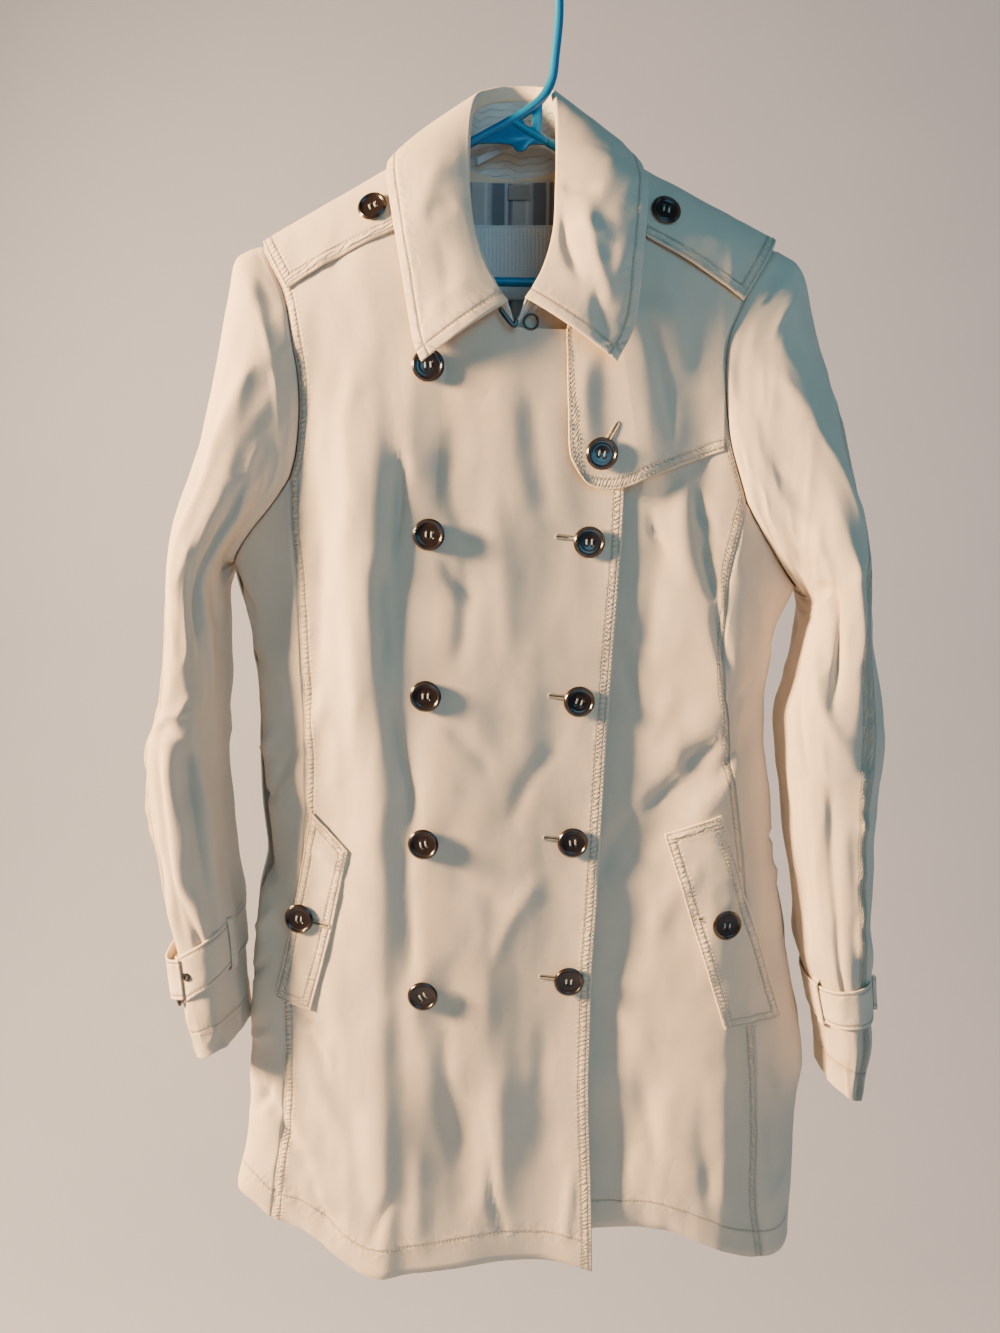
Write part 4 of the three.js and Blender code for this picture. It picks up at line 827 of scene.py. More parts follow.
def declare_cut(obj, cut):
    """Prints the size that a piece was cut to, its width at least its area over its length and LEAST_WIDTH.
    """
    width, length, area = cut
    width = max(width, area / length, LEAST_WIDTH)
    print(f"{obj.name}: cut {width * 1000:.0f} by {length * 1000:.0f} mm, {area:.4f} square metres")


# %% [markdown]
# ## Stitches
# Rows of stitches are what makes the edges of a coat look sewn. Each stitch is a small thread bar with
# pointed ends that dips into the cloth. They are worked out all at once: a row is read off the cloth
# at a distance from an edge, cut into even steps, and one small bar is turned and placed on each step.

# %% Stitches along a line
STITCH_PITCH, STITCH_LENGTH, STITCH_WIDTH = 3.4, 2.5, 0.62
FAR = 60.0


def resample(points, out, pitch):
    """A line's points and outward directions at even steps of its length."""
    length, reach = line_lengths(points), 0.5
    count = max(int(length[-1] / pitch), 1)
    at = (np.arange(count) + 0.5) * length[-1] / count
    ahead = read_line(points, length, at + reach) - read_line(points, length, at - reach)
    return read_line(points, length, at), unit(read_line(out, length, at)), unit(ahead)


def thread_bars(places, outs, along_row, length, width, sink=0.12):
    """One bar for each place: a diamond section at a quarter and three quarters, pointed ends.

    Its ends dip under the cloth, as a stitch does, and its middle stands proud by half its width.
    """
    side = unit(np.cross(outs, along_row))
    turn = np.arange(4) * math.pi / 2
    rings = []
    for share in (-0.28, 0.28):
        middle = places + along_row * length * share + outs * (width * 0.28 - sink)
        ring = side[:, None] * np.cos(turn)[:, None] * width / 2
        ring = ring + outs[:, None] * np.sin(turn)[:, None] * width / 2.4
        rings.append(middle[:, None] + ring)
    tips = [(places + along_row * length * s - outs * width * 0.45)[:, None] for s in (-0.5, 0.5)]
    bars = np.concatenate([tips[0], *rings, tips[1]], axis=1)
    k = np.arange(4)
    n = (k + 1) % 4
    start = np.stack([np.zeros(4, int), k + 1, n + 1], axis=-1)
    end = np.stack([np.full(4, 9), n + 5, k + 5], axis=-1)
    sides = np.stack([k + 1, k + 5, n + 5, n + 1], axis=-1)
    shift = np.arange(len(places))[:, None, None] * 10
    shape = [(start + shift).reshape(-1, 3), (end + shift).reshape(-1, 3), (sides + shift).reshape(-1, 4)]
    return bars.reshape(-1, 3), shape


# %% Rows of stitches
def stitch_piece(name, rows, material=THREAD, pitch=STITCH_PITCH, length=STITCH_LENGTH, width=STITCH_WIDTH):
    """All the stitches of some rows, each a pair of points and outward directions, as one piece."""
    points, faces, total = [], [], 0
    for line, out in rows:
        bars, shape = thread_bars(*resample(line, out, pitch), length, width)
        points.append(bars)
        faces += [face + total for face in shape]
        total += len(bars)
    return finished(mesh_object(name, points, faces), material)


def row_near_edge(outer, normals, edge, offset, start=0.0, end=1.0):
    """The line on a grid that lies a distance in from one edge, from a share of it to another."""
    if edge in ("bottom", "top"):
        outer, normals = outer.swapaxes(0, 1), normals.swapaxes(0, 1)
    if edge in ("right", "top"):
        outer, normals = outer[:, ::-1], normals[:, ::-1]
    length = grid_lengths(outer, 1)
    rows = range(int(start * (len(outer) - 1)), int(end * (len(outer) - 1)) + 1)
    return [np.array([[np.interp(offset, length[r], values[r, :, axis]) for axis in range(3)] for r in rows])
            for values in (outer, normals)]


# %% [markdown]
# ## Panels of the trunk
# The coat's front that laps over, the one beneath it, two side fronts and the back are cut between
# their seam lines. A patch is filled between four edges: straight lines from hem to top that bend only
# near an edge that bends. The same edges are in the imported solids, so the fine panels lie on them.
# Near a seam the cloth rolls down into it, which draws the dark line that a seam shows.

# %% Outlines of the panels
FRONT_HEM = [(-224, -1042), (-191, -1051), (-158, -1071), (-135, -1080), (-91, -1076), (-22, -1070),
             (34, -1074), (58, -1080)]
UNDER_HEM = [(-100, -1048), (0, -1048), (68, -1045), (119, -1044), (151, -1053), (178, -1065),
             (212, -1080)]
SIDE_HEM_LEFT = [(-258, -1022), (-243, -1028), (-224, -1042)]
SIDE_HEM_RIGHT = [(212, -1080), (228, -1080), (240, -1068)]
BACK_HEM = [(-258, -1022), (-140, -1046), (0, -1052), (140, -1060), (240, -1068)]
FRONT_EDGE = [(58, -1080), (56, -1000), (53, -907), (54, -863), (55, -806), (58, -750), (61, -681),
              (65, -600), (70, -520), (74, -460), (76, -402), (76, -350), (76, -293)]
UNDER_EDGE = [(-100, -1048), (-100, -800), (-100, -550), (-100, -296)]
PRINCESS_LEFT = [(-224, -1042), (-213, -964), (-207, -904), (-206, -823), (-196, -765), (-187, -714),
                 (-182, -661), (-181, -578), (-184, -497), (-188, -440), (-188, -402)]
PRINCESS_RIGHT = [(212, -1080), (203, -1024), (200, -963), (196, -902), (192, -855), (182, -736),
                  (174, -680), (164, -620), (157, -557), (160, -488), (167, -445), (172, -421)]
ARMHOLE_FRONT_LEFT = [(-188, -402), (-181, -379), (-178, -335), (-182, -301), (-191, -258), (-211, -218)]
ARMHOLE_FRONT_RIGHT = [(172, -421), (157, -369), (154, -301), (170, -262), (184, -240), (198, -221.5)]
ARMHOLE_UNDER_LEFT = [(-244, -469), (-230, -450), (-206, -425), (-188, -402)]
ARMHOLE_UNDER_RIGHT = [(172, -421), (192, -452), (210, -474), (224, -490)]
ARMHOLE_BACK_LEFT = [(-244, -469), (-226, -446), (-206, -412), (-196, -362), (-194, -310), (-200, -256),
                     (-211, -218)]
ARMHOLE_BACK_RIGHT = [(224, -490), (206, -464), (186, -424), (176, -372), (176, -312), (184, -258),
                      (198, -221.5)]
SHOULDER_LEFT = [(-211, -218), (-66, -140.5)]
SHOULDER_RIGHT = [(46, -146), (198, -221.5)]
NECK_LEFT = [(-66, -140.5), (-65, -170), (-59, -205), (-46, -240), (-28, -268), (-10, -289)]
NECK_RIGHT = [(-10, -289), (12, -272), (31, -245), (42, -213), (46, -180), (46, -146)]
NECK_BACK = [(-66, -140.5), (-50, -151), (-30, -156), (-10, -157.5), (12, -156), (32, -152), (46, -146)]
LAP_TOP = [(-10, -289), (76, -293)]
UNDER_TOP = [(-100, -296), (-10, -289)]

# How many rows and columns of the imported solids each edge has, and how finely each is divided here
FINE = 6
LOW_ROWS, ARMHOLE_ROWS, UNDER_PARTS, BACK_ROWS = 16, 6, 4, 8
SHOULDER_PARTS, NECK_PARTS, BACK_NECK_PARTS, OVERLAP_PARTS = 5, 5, 6, 3
FRONT_PARTS = SHOULDER_PARTS + NECK_PARTS + OVERLAP_PARTS
LOW_SHARE = 0.86
HEM_TURN = 26


# %% Filling a patch between its edges
SOFT_ROWS, SOFT_SHARE = 25, 0.07
NECK_SPREAD = 0.2


def near_edges(shares, width, edge=(0.8, 1.8, 3.2, 5.0, 7.0, 9.5)):
    """Shares with more of them close to both ends, at the given millimetres of the width."""
    extra = np.array(edge) / width
    return np.unique(np.concatenate([shares, extra, 1 - extra]).round(6))


def softened(bend):
    """The same bends without corners: each is the mean of its neighbours, the near ones weighing more."""
    weights = np.hanning(SOFT_ROWS + 2)[1:-1]
    padded = np.pad(bend[:, 0], ((SOFT_ROWS // 2, SOFT_ROWS // 2), (0, 0)), mode="edge")
    return np.stack([np.convolve(c, weights / weights.sum(), "valid") for c in padded.T], axis=-1)[:, None]


def fill_patch(bottom, top, left, right, shares):
    """Angles and heights between four edges.

    A row's place runs from bottom to top in proportion to the left edge's height. What a side edge
    bends away from its own straight line is added, fading as (1 - s)^3 from the left and s^3 from
    the right. A little way in from the edge the bend has lost its corners.
    """
    fade = 3
    t = ((left[:, 1] - left[0, 1]) / (left[-1, 1] - left[0, 1]))[:, None, None]
    s = shares[None, :, None]
    bend_left = left[:, None] - (left[0] * (1 - t) + left[-1] * t)
    bend_right = right[:, None] - (right[0] * (1 - t) + right[-1] * t)
    straight = bottom[None] * (1 - t) + top[None] * t
    inside = ease((1 - t) / 0.06)
    soft_left, soft_right = inside * ease(s / SOFT_SHARE), inside * ease((1 - s) / SOFT_SHARE)
    bend_left = bend_left + (softened(bend_left) - bend_left) * soft_left
    bend_right = bend_right + (softened(bend_right) - bend_right) * soft_right
    return straight + bend_left * (1 - s) ** fade + bend_right * s**fade


def clear_neck(grid, seam, away):
    """Spreads the lines of a front sideways from its neck seam, more the further they run below."""
    seam = np.array(sorted(seam, key=lambda p: p[1]), float)
    angle, z = grid[..., 0], grid[..., 1]
    edge = smooth(seam[:, 1], seam[:, 0], z)
    nearest = edge + away * NECK_SPREAD * (z[-1:] - z)
    x = trunk_point(FRONT, angle, z)[..., 0]
    move = (z >= seam[0, 1]) & (away * x < away * nearest)
    move[-1] = False
    return np.stack([np.where(move, round_angle(nearest, z), angle), z], axis=-1)


# %% How each edge is divided
def side_rows(low, high):
    """The rows of an edge: even ones below the armhole, then those that crowd to the shoulder."""
    return to_angles(chain(along(low, steps(LOW_ROWS * FINE)),
                           along(high, close_at_end(steps(ARMHOLE_ROWS * FINE)))))


def free_edge(points):
    """A free edge is divided as the seam across from it is."""
    low = LOW_ROWS / (LOW_ROWS + ARMHOLE_ROWS)
    t = steps((LOW_ROWS + ARMHOLE_ROWS) * FINE)
    high = LOW_SHARE + (1 - LOW_SHARE) * close_at_end(np.clip((t - low) / (1 - low), 0, 1))
    return to_angles(along(points, np.where(t < low, t / low * LOW_SHARE, high)))


def straight_rows(angle, low, high, parts):
    """A side seam runs straight up at an angle of the trunk."""
    z = low + (high - low) * steps(parts)
    return np.stack([np.full_like(z, angle), z], axis=-1)


# %% [markdown]
# ## How far the layers lie apart
# Where the coat is closed the left front lies over the right one, and its edge stands off more
# towards the hem, where nothing presses it flat. The storm flap lies over both.

# %% Lifts of the layers
def lap_lift(x, z):
    lapped = 3.8 * ease((x + 165) / 55)
    flare = (0.8 + 6.2 * ease((-300 - z) / 780)) * ease((x - 10) / 60)
    return ease((-200 - z) / 60) * (lapped + flare)


def flap_lift(x, z):
    over_lap = 5.2 * ease((128 - x) / 45) * ease((-258 - z) / 24)
    at_neck = 3.4 * ease((96 - x) / 36) * ease((z + 290) / 40)
    return LAID_ON + over_lap + at_neck


def on_trunk(side, grid, lift, relief=trunk_relief):
    """The points of a piece on the trunk, and the trunk's outward directions there."""
    angle, z = grid[..., 0], grid[..., 1]
    base = trunk_point(side, angle, z)
    normal = trunk_normal(side, angle, z)
    x, z = base[..., 0], base[..., 2]
    height = lift(x, z) if callable(lift) else lift
    return base + normal * (height + relief(side, x, z))[..., None], normal


# %% Turned and stitched edges
SEAM_DEPTH = 1.1


def worked_edges(outer, normals, seams=(), stitched=(), single=(), seed=1):
    """Turns the edges of a piece and gathers it beside its stitches.

    Returns the new points and, for the material, the distance from the double rows, the distance
    from the single rows, and how near a rubbed edge is. A seam edge sinks as exp(-(d / 1.5)^2), and
    stitched cloth rises and falls along its row as noise times exp(-((d - 5) / 5.5)^2).
    """
    far = edge_distances(outer)
    along_edge = {"left": grid_lengths(outer, 0), "right": grid_lengths(outer, 0),
                  "bottom": grid_lengths(outer, 1), "top": grid_lengths(outer, 1)}
    shape = outer.shape[:2]
    height, rub = np.zeros((2, *shape))
    double, one = np.full(shape, FAR), np.full(shape, FAR)
    for edge in seams:
        height -= SEAM_DEPTH * np.exp(-(far[edge] / 1.5) ** 2)
    for k, edge in enumerate(stitched):
        gather = unevenness(along_edge[edge] / 8.5, far[edge] / 30, seed + k)
        gather += 0.6 * unevenness(along_edge[edge] / 21, far[edge] / 40, seed + 9 + k)
        height += 0.5 * gather * np.exp(-((far[edge] - ROW_MIDDLE) / 5.5) ** 2)
        double = np.minimum(double, far[edge])
    for k, (edge, offset) in enumerate(single):
        gather = unevenness(along_edge[edge] / 10, far[edge] / 40, seed + 20 + k)
        height += 0.6 * gather * np.exp(-((far[edge] - offset) / 6) ** 2)
        height -= 0.25 * np.exp(-((far[edge] - offset) / 1.5) ** 2)
        one = np.where(np.abs(one) < np.abs(far[edge] - offset), one, far[edge] - offset)
    for edge in far:
        if edge not in seams:
            rub += np.exp(-(far[edge] / 1.2) ** 2)
    return outer + normals * height[..., None], np.stack([double, one, np.clip(rub, 0, 1)], axis=-1)


# %% Keeping each piece with its cut
sheets = {}


def cloth_piece(name, outer, guide, sewn, material=GABARDINE, thickness=CLOTH, cut=None):
    """Makes one cloth piece from its outer face, keeps its cut and returns its outward directions.

    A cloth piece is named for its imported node, with the word cloth in front.
    """
    normals = towards(grid_normals(outer, False), guide)
    obj = shell(name, outer, normals, weave_of(outer), sewn, thickness)
    sheets[name] = finished(obj, material, name.removeprefix("cloth_")), cut or cut_size(outer)
    return normals


# %% Edges shared by the five panels
def parts(line, count, spread=lambda t: t):
    """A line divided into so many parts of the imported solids, each of them finely."""
    return along(line, spread(steps(count * FINE)))


def divided_up(line, count, spread=lambda t: t):
    return to_angles(parts(line, count, spread))


def crosswise(line, shares):
    """A divided hem or top in angles and heights, read at shares of its divisions."""
    return read_line(to_angles(line), steps(len(line) - 1), shares)


def panel(hem, top, left, right, shares):
    return fill_patch(crosswise(hem, shares), crosswise(top, shares), left, right, shares)


BACK_PARTS = 2 * SHOULDER_PARTS + BACK_NECK_PARTS
LEFT_TOP = chain(parts(SHOULDER_LEFT, SHOULDER_PARTS), parts(NECK_LEFT, NECK_PARTS),
                 parts(LAP_TOP, OVERLAP_PARTS))
RIGHT_TOP = chain(parts(UNDER_TOP, OVERLAP_PARTS), parts(NECK_RIGHT, NECK_PARTS),
                  parts(SHOULDER_RIGHT, SHOULDER_PARTS))
BACK_TOP = chain(parts(SHOULDER_LEFT, SHOULDER_PARTS), parts(NECK_BACK, BACK_NECK_PARTS),
                 parts(SHOULDER_RIGHT, SHOULDER_PARTS))
SEAM_LEFT = straight_rows(0, SIDE_HEM_LEFT[0][1], ARMHOLE_BACK_LEFT[0][1], LOW_ROWS * FINE)
SEAM_RIGHT = straight_rows(math.pi, SIDE_HEM_RIGHT[2][1], ARMHOLE_BACK_RIGHT[0][1], LOW_ROWS * FINE)

# %% Cut the five panels
FRONT_SHARES = near_edges(steps(FRONT_PARTS * FINE), 290)
SIDE_SHARES = near_edges(steps(UNDER_PARTS * FINE), 60, (0.8, 1.8, 3.2, 5.0))
BACK_SHARES = near_edges(steps(BACK_PARTS * FINE), 460)
BOTH_SIDES = ("left", "right")

left_grid = panel(parts(FRONT_HEM, FRONT_PARTS), LEFT_TOP, side_rows(PRINCESS_LEFT, ARMHOLE_FRONT_LEFT),
                  free_edge(FRONT_EDGE), FRONT_SHARES)
right_grid = panel(parts(UNDER_HEM, FRONT_PARTS), RIGHT_TOP, free_edge(UNDER_EDGE),
                   side_rows(PRINCESS_RIGHT, ARMHOLE_FRONT_RIGHT), FRONT_SHARES)
side_left_grid = panel(parts(SIDE_HEM_LEFT, UNDER_PARTS), parts(ARMHOLE_UNDER_LEFT, UNDER_PARTS),
                       SEAM_LEFT, divided_up(PRINCESS_LEFT, LOW_ROWS), SIDE_SHARES)
side_right_grid = panel(parts(SIDE_HEM_RIGHT, UNDER_PARTS), parts(ARMHOLE_UNDER_RIGHT, UNDER_PARTS),
                        divided_up(PRINCESS_RIGHT, LOW_ROWS), SEAM_RIGHT, SIDE_SHARES)
back_grid = panel(parts(BACK_HEM, BACK_PARTS), BACK_TOP,
                  chain(SEAM_LEFT, divided_up(ARMHOLE_BACK_LEFT, BACK_ROWS, close_at_end)),
                  chain(SEAM_RIGHT, divided_up(ARMHOLE_BACK_RIGHT, BACK_ROWS, close_at_end)), BACK_SHARES)

# For each panel: its side, its grid, its lift, its seams and its edges with double rows
panels = {
    "front_left_lap": (FRONT, clear_neck(left_grid, NECK_LEFT, -1), lap_lift, ("left",), BOTH_SIDES),
    "front_right_under": (FRONT, clear_neck(right_grid, NECK_RIGHT, 1), 0.0, ("right",), ("right",)),
    "side_front_left": (FRONT, side_left_grid, 0.0, BOTH_SIDES, ()),
    "side_front_right": (FRONT, side_right_grid, 0.0, BOTH_SIDES, ()),
    "back": (BACK, back_grid, 0.0, BOTH_SIDES, ()),
}

# %% Work the panels and sew them
trunk_rows = []
for seed, (node, (side, grid, lift, seams, stitched)) in enumerate(panels.items()):
    flat, out = on_trunk(side, grid, lift)
    outer, sewn = worked_edges(flat, out, seams, stitched, (("bottom", HEM_TURN),), 30 * seed)
    normals = cloth_piece("cloth_" + node, outer, out, sewn)
    trunk_rows += [row_near_edge(outer, normals, edge, d) for edge in stitched for d in (ROW_NEAR, ROW_FAR)]
    trunk_rows.append(row_near_edge(outer, normals, "bottom", HEM_TURN))
trunk_stitches = stitch_piece("stitches_trunk", trunk_rows)
print("triangles in the trunk's stitches:", sum(len(p.vertices) - 2 for p in trunk_stitches.data.polygons))

# %% [markdown]
# ## Sleeves
# A sleeve is a tube whose section changes from the armhole to the cuff. A short table gives the ends
# of each section as seen from the front, and its depth. Near the top the tube is drawn over to the
# very edge of the armhole, as a sleeve is eased into its seam. Creases are placed on it by the angle
# round it and the share of its length, because that is how they run on an arm.

# %% Sizes of the sleeves
SLEEVE_COLUMNS = "ox oz ix iz y half"
SLEEVE_LEFT = table(
    SLEEVE_COLUMNS,
    (-211, -218, -244, -469, 0, 38),
    (-229, -230, -249, -470, -3, 42),
    (-237, -262, -251, -472, -4, 45),
    (-251, -324, -250, -476, -5, 47),
    (-265, -380, -250, -484, -6, 49),
    (-284, -440, -250, -498, -7, 50),
    (-293, -500, -249, -525, -8, 50),
    (-298, -560, -249, -565, -8, 49),
    (-306, -594, -251, -598, -8, 49),
    (-314, -624, -252, -628, -9, 48),
    (-313, -668, -250, -672, -9, 48),
    (-306, -730, -249, -730, -10, 46),
    (-297, -790, -245, -786, -10, 44),
    (-292, -850, -244, -840, -10, 42),
    (-286, -888, -242, -868, -10, 42),
)
SLEEVE_RIGHT = table(
    SLEEVE_COLUMNS,
    (198, -221.5, 224, -490, 0, 38),
    (215, -236, 227, -492, -3, 42),
    (226, -266, 229, -494, -5, 46),
    (242, -318, 230, -498, -8, 49),
    (256, -380, 230, -506, -11, 51),
    (271, -450, 228, -520, -13, 52),
    (281, -530, 219, -560, -15, 51),
    (293, -601, 210, -600, -16, 50),
    (289, -671, 218, -671, -17, 49),
    (288, -744, 229, -744, -18, 47),
    (290, -808, 240, -808, -18, 45),
    (294, -870, 253, -866, -18, 43),
    (286, -918, 259, -908, -18, 42),
)
BLEND_PLACE = 0.4
SEAM_TURN = 0.7
SLEEVE_RINGS, SLEEVE_SIDES = 230, 120
HEAD_SHARE = 0.22
CUFF_TURN = 24
MM_PER_DEGREE = 0.85

# Creases by degrees round the sleeve (90 is its front, 270 its back) and share of its length
SLEEVE_CREASE_COLUMNS = "a1 s1 a2 s2 bow width height skew"
LEFT_SLEEVE_CREASES = table(
    SLEEVE_CREASE_COLUMNS,
    (96, 0.16, 118, 0.50, 4, 7, -4.2, 0.5),
    (60, 0.10, 74, 0.44, -4, 11, 3.0, -0.3),
    (40, 0.20, 44, 0.60, 4, 9, -1.8, 0.3),
    (118, 0.34, 150, 0.52, 4, 7, 3.4, -0.4),
    (136, 0.30, 168, 0.44, 5, 6, -3.0, 0.4),
    (30, 0.50, 100, 0.60, -8, 8, -2.0, 0.4),
    (50, 0.58, 120, 0.54, 7, 8, 2.0, -0.2),
    (60, 0.62, 76, 0.86, 4, 7, -2.6, 0.4),
    (84, 0.58, 92, 0.84, -4, 8, 2.6, -0.3),
    (108, 0.60, 112, 0.82, 3, 6, -2.6, 0.4),
    (128, 0.64, 132, 0.86, 3, 7, 2.2, -0.2),
    (22, 0.66, 30, 0.84, 2, 7, 1.8, 0.2),
    (78, 0.78, 96, 0.87, 3, 5, -2.6, 0.4),
    (250, 0.18, 236, 0.52, 6, 10, -2.4, 0.4),
    (290, 0.14, 286, 0.56, -5, 12, 2.2, -0.2),
    (240, 0.52, 300, 0.60, 8, 8, -2.2, 0.4),
    (260, 0.60, 262, 0.84, 4, 9, 2.0, 0.2),
    (300, 0.64, 296, 0.84, -4, 8, -1.8, 0.3),
)
RIGHT_SLEEVE_CREASES = table(
    SLEEVE_CREASE_COLUMNS,
    (128, 0.22, 70, 0.56, -10, 10, 3.6, -0.5),
    (140, 0.28, 96, 0.58, -8, 7, -4.0, 0.6),
    (150, 0.42, 84, 0.62, 7, 7, 2.8, -0.3),
    (158, 0.46, 120, 0.64, 6, 6, -3.4, 0.5),
    (60, 0.14, 52, 0.50, 5, 12, 2.4, -0.2),
    (86, 0.10, 92, 0.34, 5, 9, -2.2, 0.3),
    (30, 0.30, 34, 0.60, 4, 9, -1.6, 0.3),
    (100, 0.62, 96, 0.84, 5, 7, -2.8, 0.4),
    (76, 0.60, 72, 0.86, -4, 8, 2.6, -0.3),
    (50, 0.62, 56, 0.86, 3, 6, -2.2, 0.4),
    (124, 0.66, 130, 0.86, 4, 7, 2.4, -0.2),
    (146, 0.62, 150, 0.84, 3, 6, -2.4, 0.3),
    (110, 0.76, 92, 0.87, 3, 5, -2.4, 0.4),
    (246, 0.18, 240, 0.52, 6, 10, -2.4, 0.4),
    (286, 0.14, 290, 0.56, -5, 12, 2.2, -0.2),
    (300, 0.52, 236, 0.60, 8, 8, -2.2, 0.4),
    (262, 0.60, 258, 0.84, 4, 9, 2.0, 0.2),
    (302, 0.64, 300, 0.84, -4, 8, -1.8, 0.3),
)


# %% The plain sleeve and its armhole
def sleeve_point(sizes, angle, place):
    """A point of the plain tube: an oval between its outer and inner edge, squared a little.

    share = (1 + cos(angle)^squareness) / 2 goes from the inner to the outer edge, and
    y = middle - half depth * sin(angle)^squareness.
    """
    stations = steps(len(sizes["y"]) - 1)
    ox, oz, ix, iz, y, half = (smooth(stations, sizes[c], place) for c in SLEEVE_COLUMNS.split())
    power = lambda value: np.sign(value) * np.abs(value) ** SLEEVE_SQUARENESS
    share = (1 + power(np.cos(angle))) / 2
    return np.stack([ix + (ox - ix) * share, y - half * power(np.sin(angle)), iz + (oz - iz) * share], -1)


def armhole_loop(front, front_last, side, side_backwards, back, back_last):
    """Points and outward directions round an armhole: down the front, under the arm, up the back."""
    low = LOW_ROWS * FINE
    loops = []
    for at_front, at_side, at_back in zip(*[flat_trunk[node] for node in (front, side, back)]):
        down = at_front[:low:-1, -1 if front_last else 0]
        under = at_side[-1, ::-1] if side_backwards else at_side[-1]
        up = at_back[low:, -1 if back_last else 0]
        loops.append(np.concatenate([down, under[:-1], up[:-1]]))
    return loops, len(down) + len(under) - 1


flat_trunk = {node: on_trunk(side, grid, lift) for node, (side, grid, lift, *_) in panels.items()}
LOOP_LEFT, INNER_LEFT = armhole_loop("front_left_lap", False, "side_front_left", True, "back", False)
LOOP_RIGHT, INNER_RIGHT = armhole_loop("front_right_under", True, "side_front_right", False, "back", True)


def loop_angles(points, inner):
    """Angles round the sleeve in proportion to the armhole's length: half a turn to its low point."""
    length = line_lengths(closed_line(points))
    front = np.pi * length[: inner + 1] / length[inner]
    rear = np.pi * (1 + (length[inner + 1:-1] - length[inner]) / (length[-1] - length[inner]))
    return np.concatenate([front, rear])


def even_loop(loop, inner):
    """A loop read again at even steps: half of them to its low point and half of them back."""
    angles = loop_angles(loop[0], inner)
    wanted = 2 * np.pi * np.arange(SLEEVE_SIDES) / SLEEVE_SIDES
    points, out = [read_line(values, angles, wanted, 2 * np.pi) for values in loop]
    return points, unit(out), wanted


# %% [markdown]
# ## The pinch at the cuff
# The strap is buckled tighter than the sleeve is wide. Above it the cloth swells over in soft pleats,
# below it flares again to the hem. A sum of two smooth bumps and a trough gives that profile.

# %% Creases, seam and cuff of a sleeve
SEAM_SWING = 85


def seam_line(seam_angle, place):
    """The seam in degrees round the sleeve: behind the arm at the top, on its front below the elbow."""
    return seam_angle - SEAM_SWING * (1 - ease((place - 0.10) / 0.42))


def degrees_from(angle, other):
    """Degrees from another direction, the short way round."""
    return (np.degrees(angle) - other + 180) % 360 - 180


def sleeve_relief(creases, angle, place, length, seam_angle, strap_place, seed):
    """How far the sleeve's cloth stands off its plain form, in millimetres."""
    a1, s1, a2, s2, *shape = columns_of(creases, SLEEVE_CREASE_COLUMNS, 2)
    around = np.degrees(angle) + 4 * unevenness(np.degrees(angle) / 30, place * 14, seed)
    z = place * length
    ends = a1 * MM_PER_DEGREE, s1 * length, a2 * MM_PER_DEGREE, s2 * length
    total = furrows(around * MM_PER_DEGREE, z, *ends, *shape, 0.3)
    total = total + 0.8 * unevenness(around / 26, place * 9, seed + 1)
    quiet = 1 - 0.8 * np.exp(-(((place - strap_place) / 0.035) ** 2))
    crumple = 2.4 * crumples(around / 34, z / 74, seed + 7) + 1.1 * crumples(around / 17, z / 30, seed + 8)
    total = 1.15 * total + quiet * crumple
    near = degrees_from(angle, seam_line(seam_angle, place))
    from_seam = near * MM_PER_DEGREE
    gather = unevenness(z / 8, near / 60, seed + 2)
    ruched = ease((place - 0.50) / 0.08) * ease((0.86 - place) / 0.08)
    total = total + (0.35 + 1.1 * ruched) * gather * np.exp(-(from_seam / 7) ** 2)
    total = total - 0.9 * np.exp(-(from_seam / 1.6) ** 2)
    above = np.exp(-((place - strap_place + 0.055) / 0.028) ** 2)
    under = np.exp(-((place - strap_place) / 0.022) ** 2)
    pleat = np.cos(np.radians(np.degrees(angle) * 7 + 60 * unevenness(angle, place * 3, seed + 3)))
    return total + above * (1.6 + 1.8 * pleat) - 1.2 * under


# %% Build both sleeves
def plain_sleeve(sizes, loop, inner):
    """The angles, the shares of the length and the points of a sleeve drawn over to its armhole."""
    points, out, wanted = even_loop(loop, inner)
    at_ends = np.array([0.0015, 0.004, 0.008])
    place = np.unique(np.concatenate([steps(SLEEVE_RINGS), at_ends, 1 - at_ends]))[:, None]
    angle = wanted[None] + 0 * place
    shift = points + out * SEAM_TURN - sleeve_point(sizes, wanted, np.zeros_like(wanted))
    blend = (1 - ease(place / BLEND_PLACE))[..., None]
    return angle, place, sleeve_point(sizes, angle, place) + shift[None] * blend


def sleeve_rows(outer, normals, seam, hem_ring):
    """The two rows beside the sleeve's seam, which starts a little below the armhole, and the hem's."""
    rings = np.arange(len(outer))[6:]
    rows = []
    for beside in (1.2, 8.2):
        column = (seam[6:, 0] + beside) * SLEEVE_SIDES / 360
        low = np.floor(column).astype(int)
        share = (column - low)[:, None]
        first, second = outer[rings, low % SLEEVE_SIDES], outer[rings, (low + 1) % SLEEVE_SIDES]
        rows.append((first * (1 - share) + second * share, normals[rings, low % SLEEVE_SIDES]))
    return rows + [(closed_line(outer[hem_ring]), closed_line(normals[hem_ring]))]


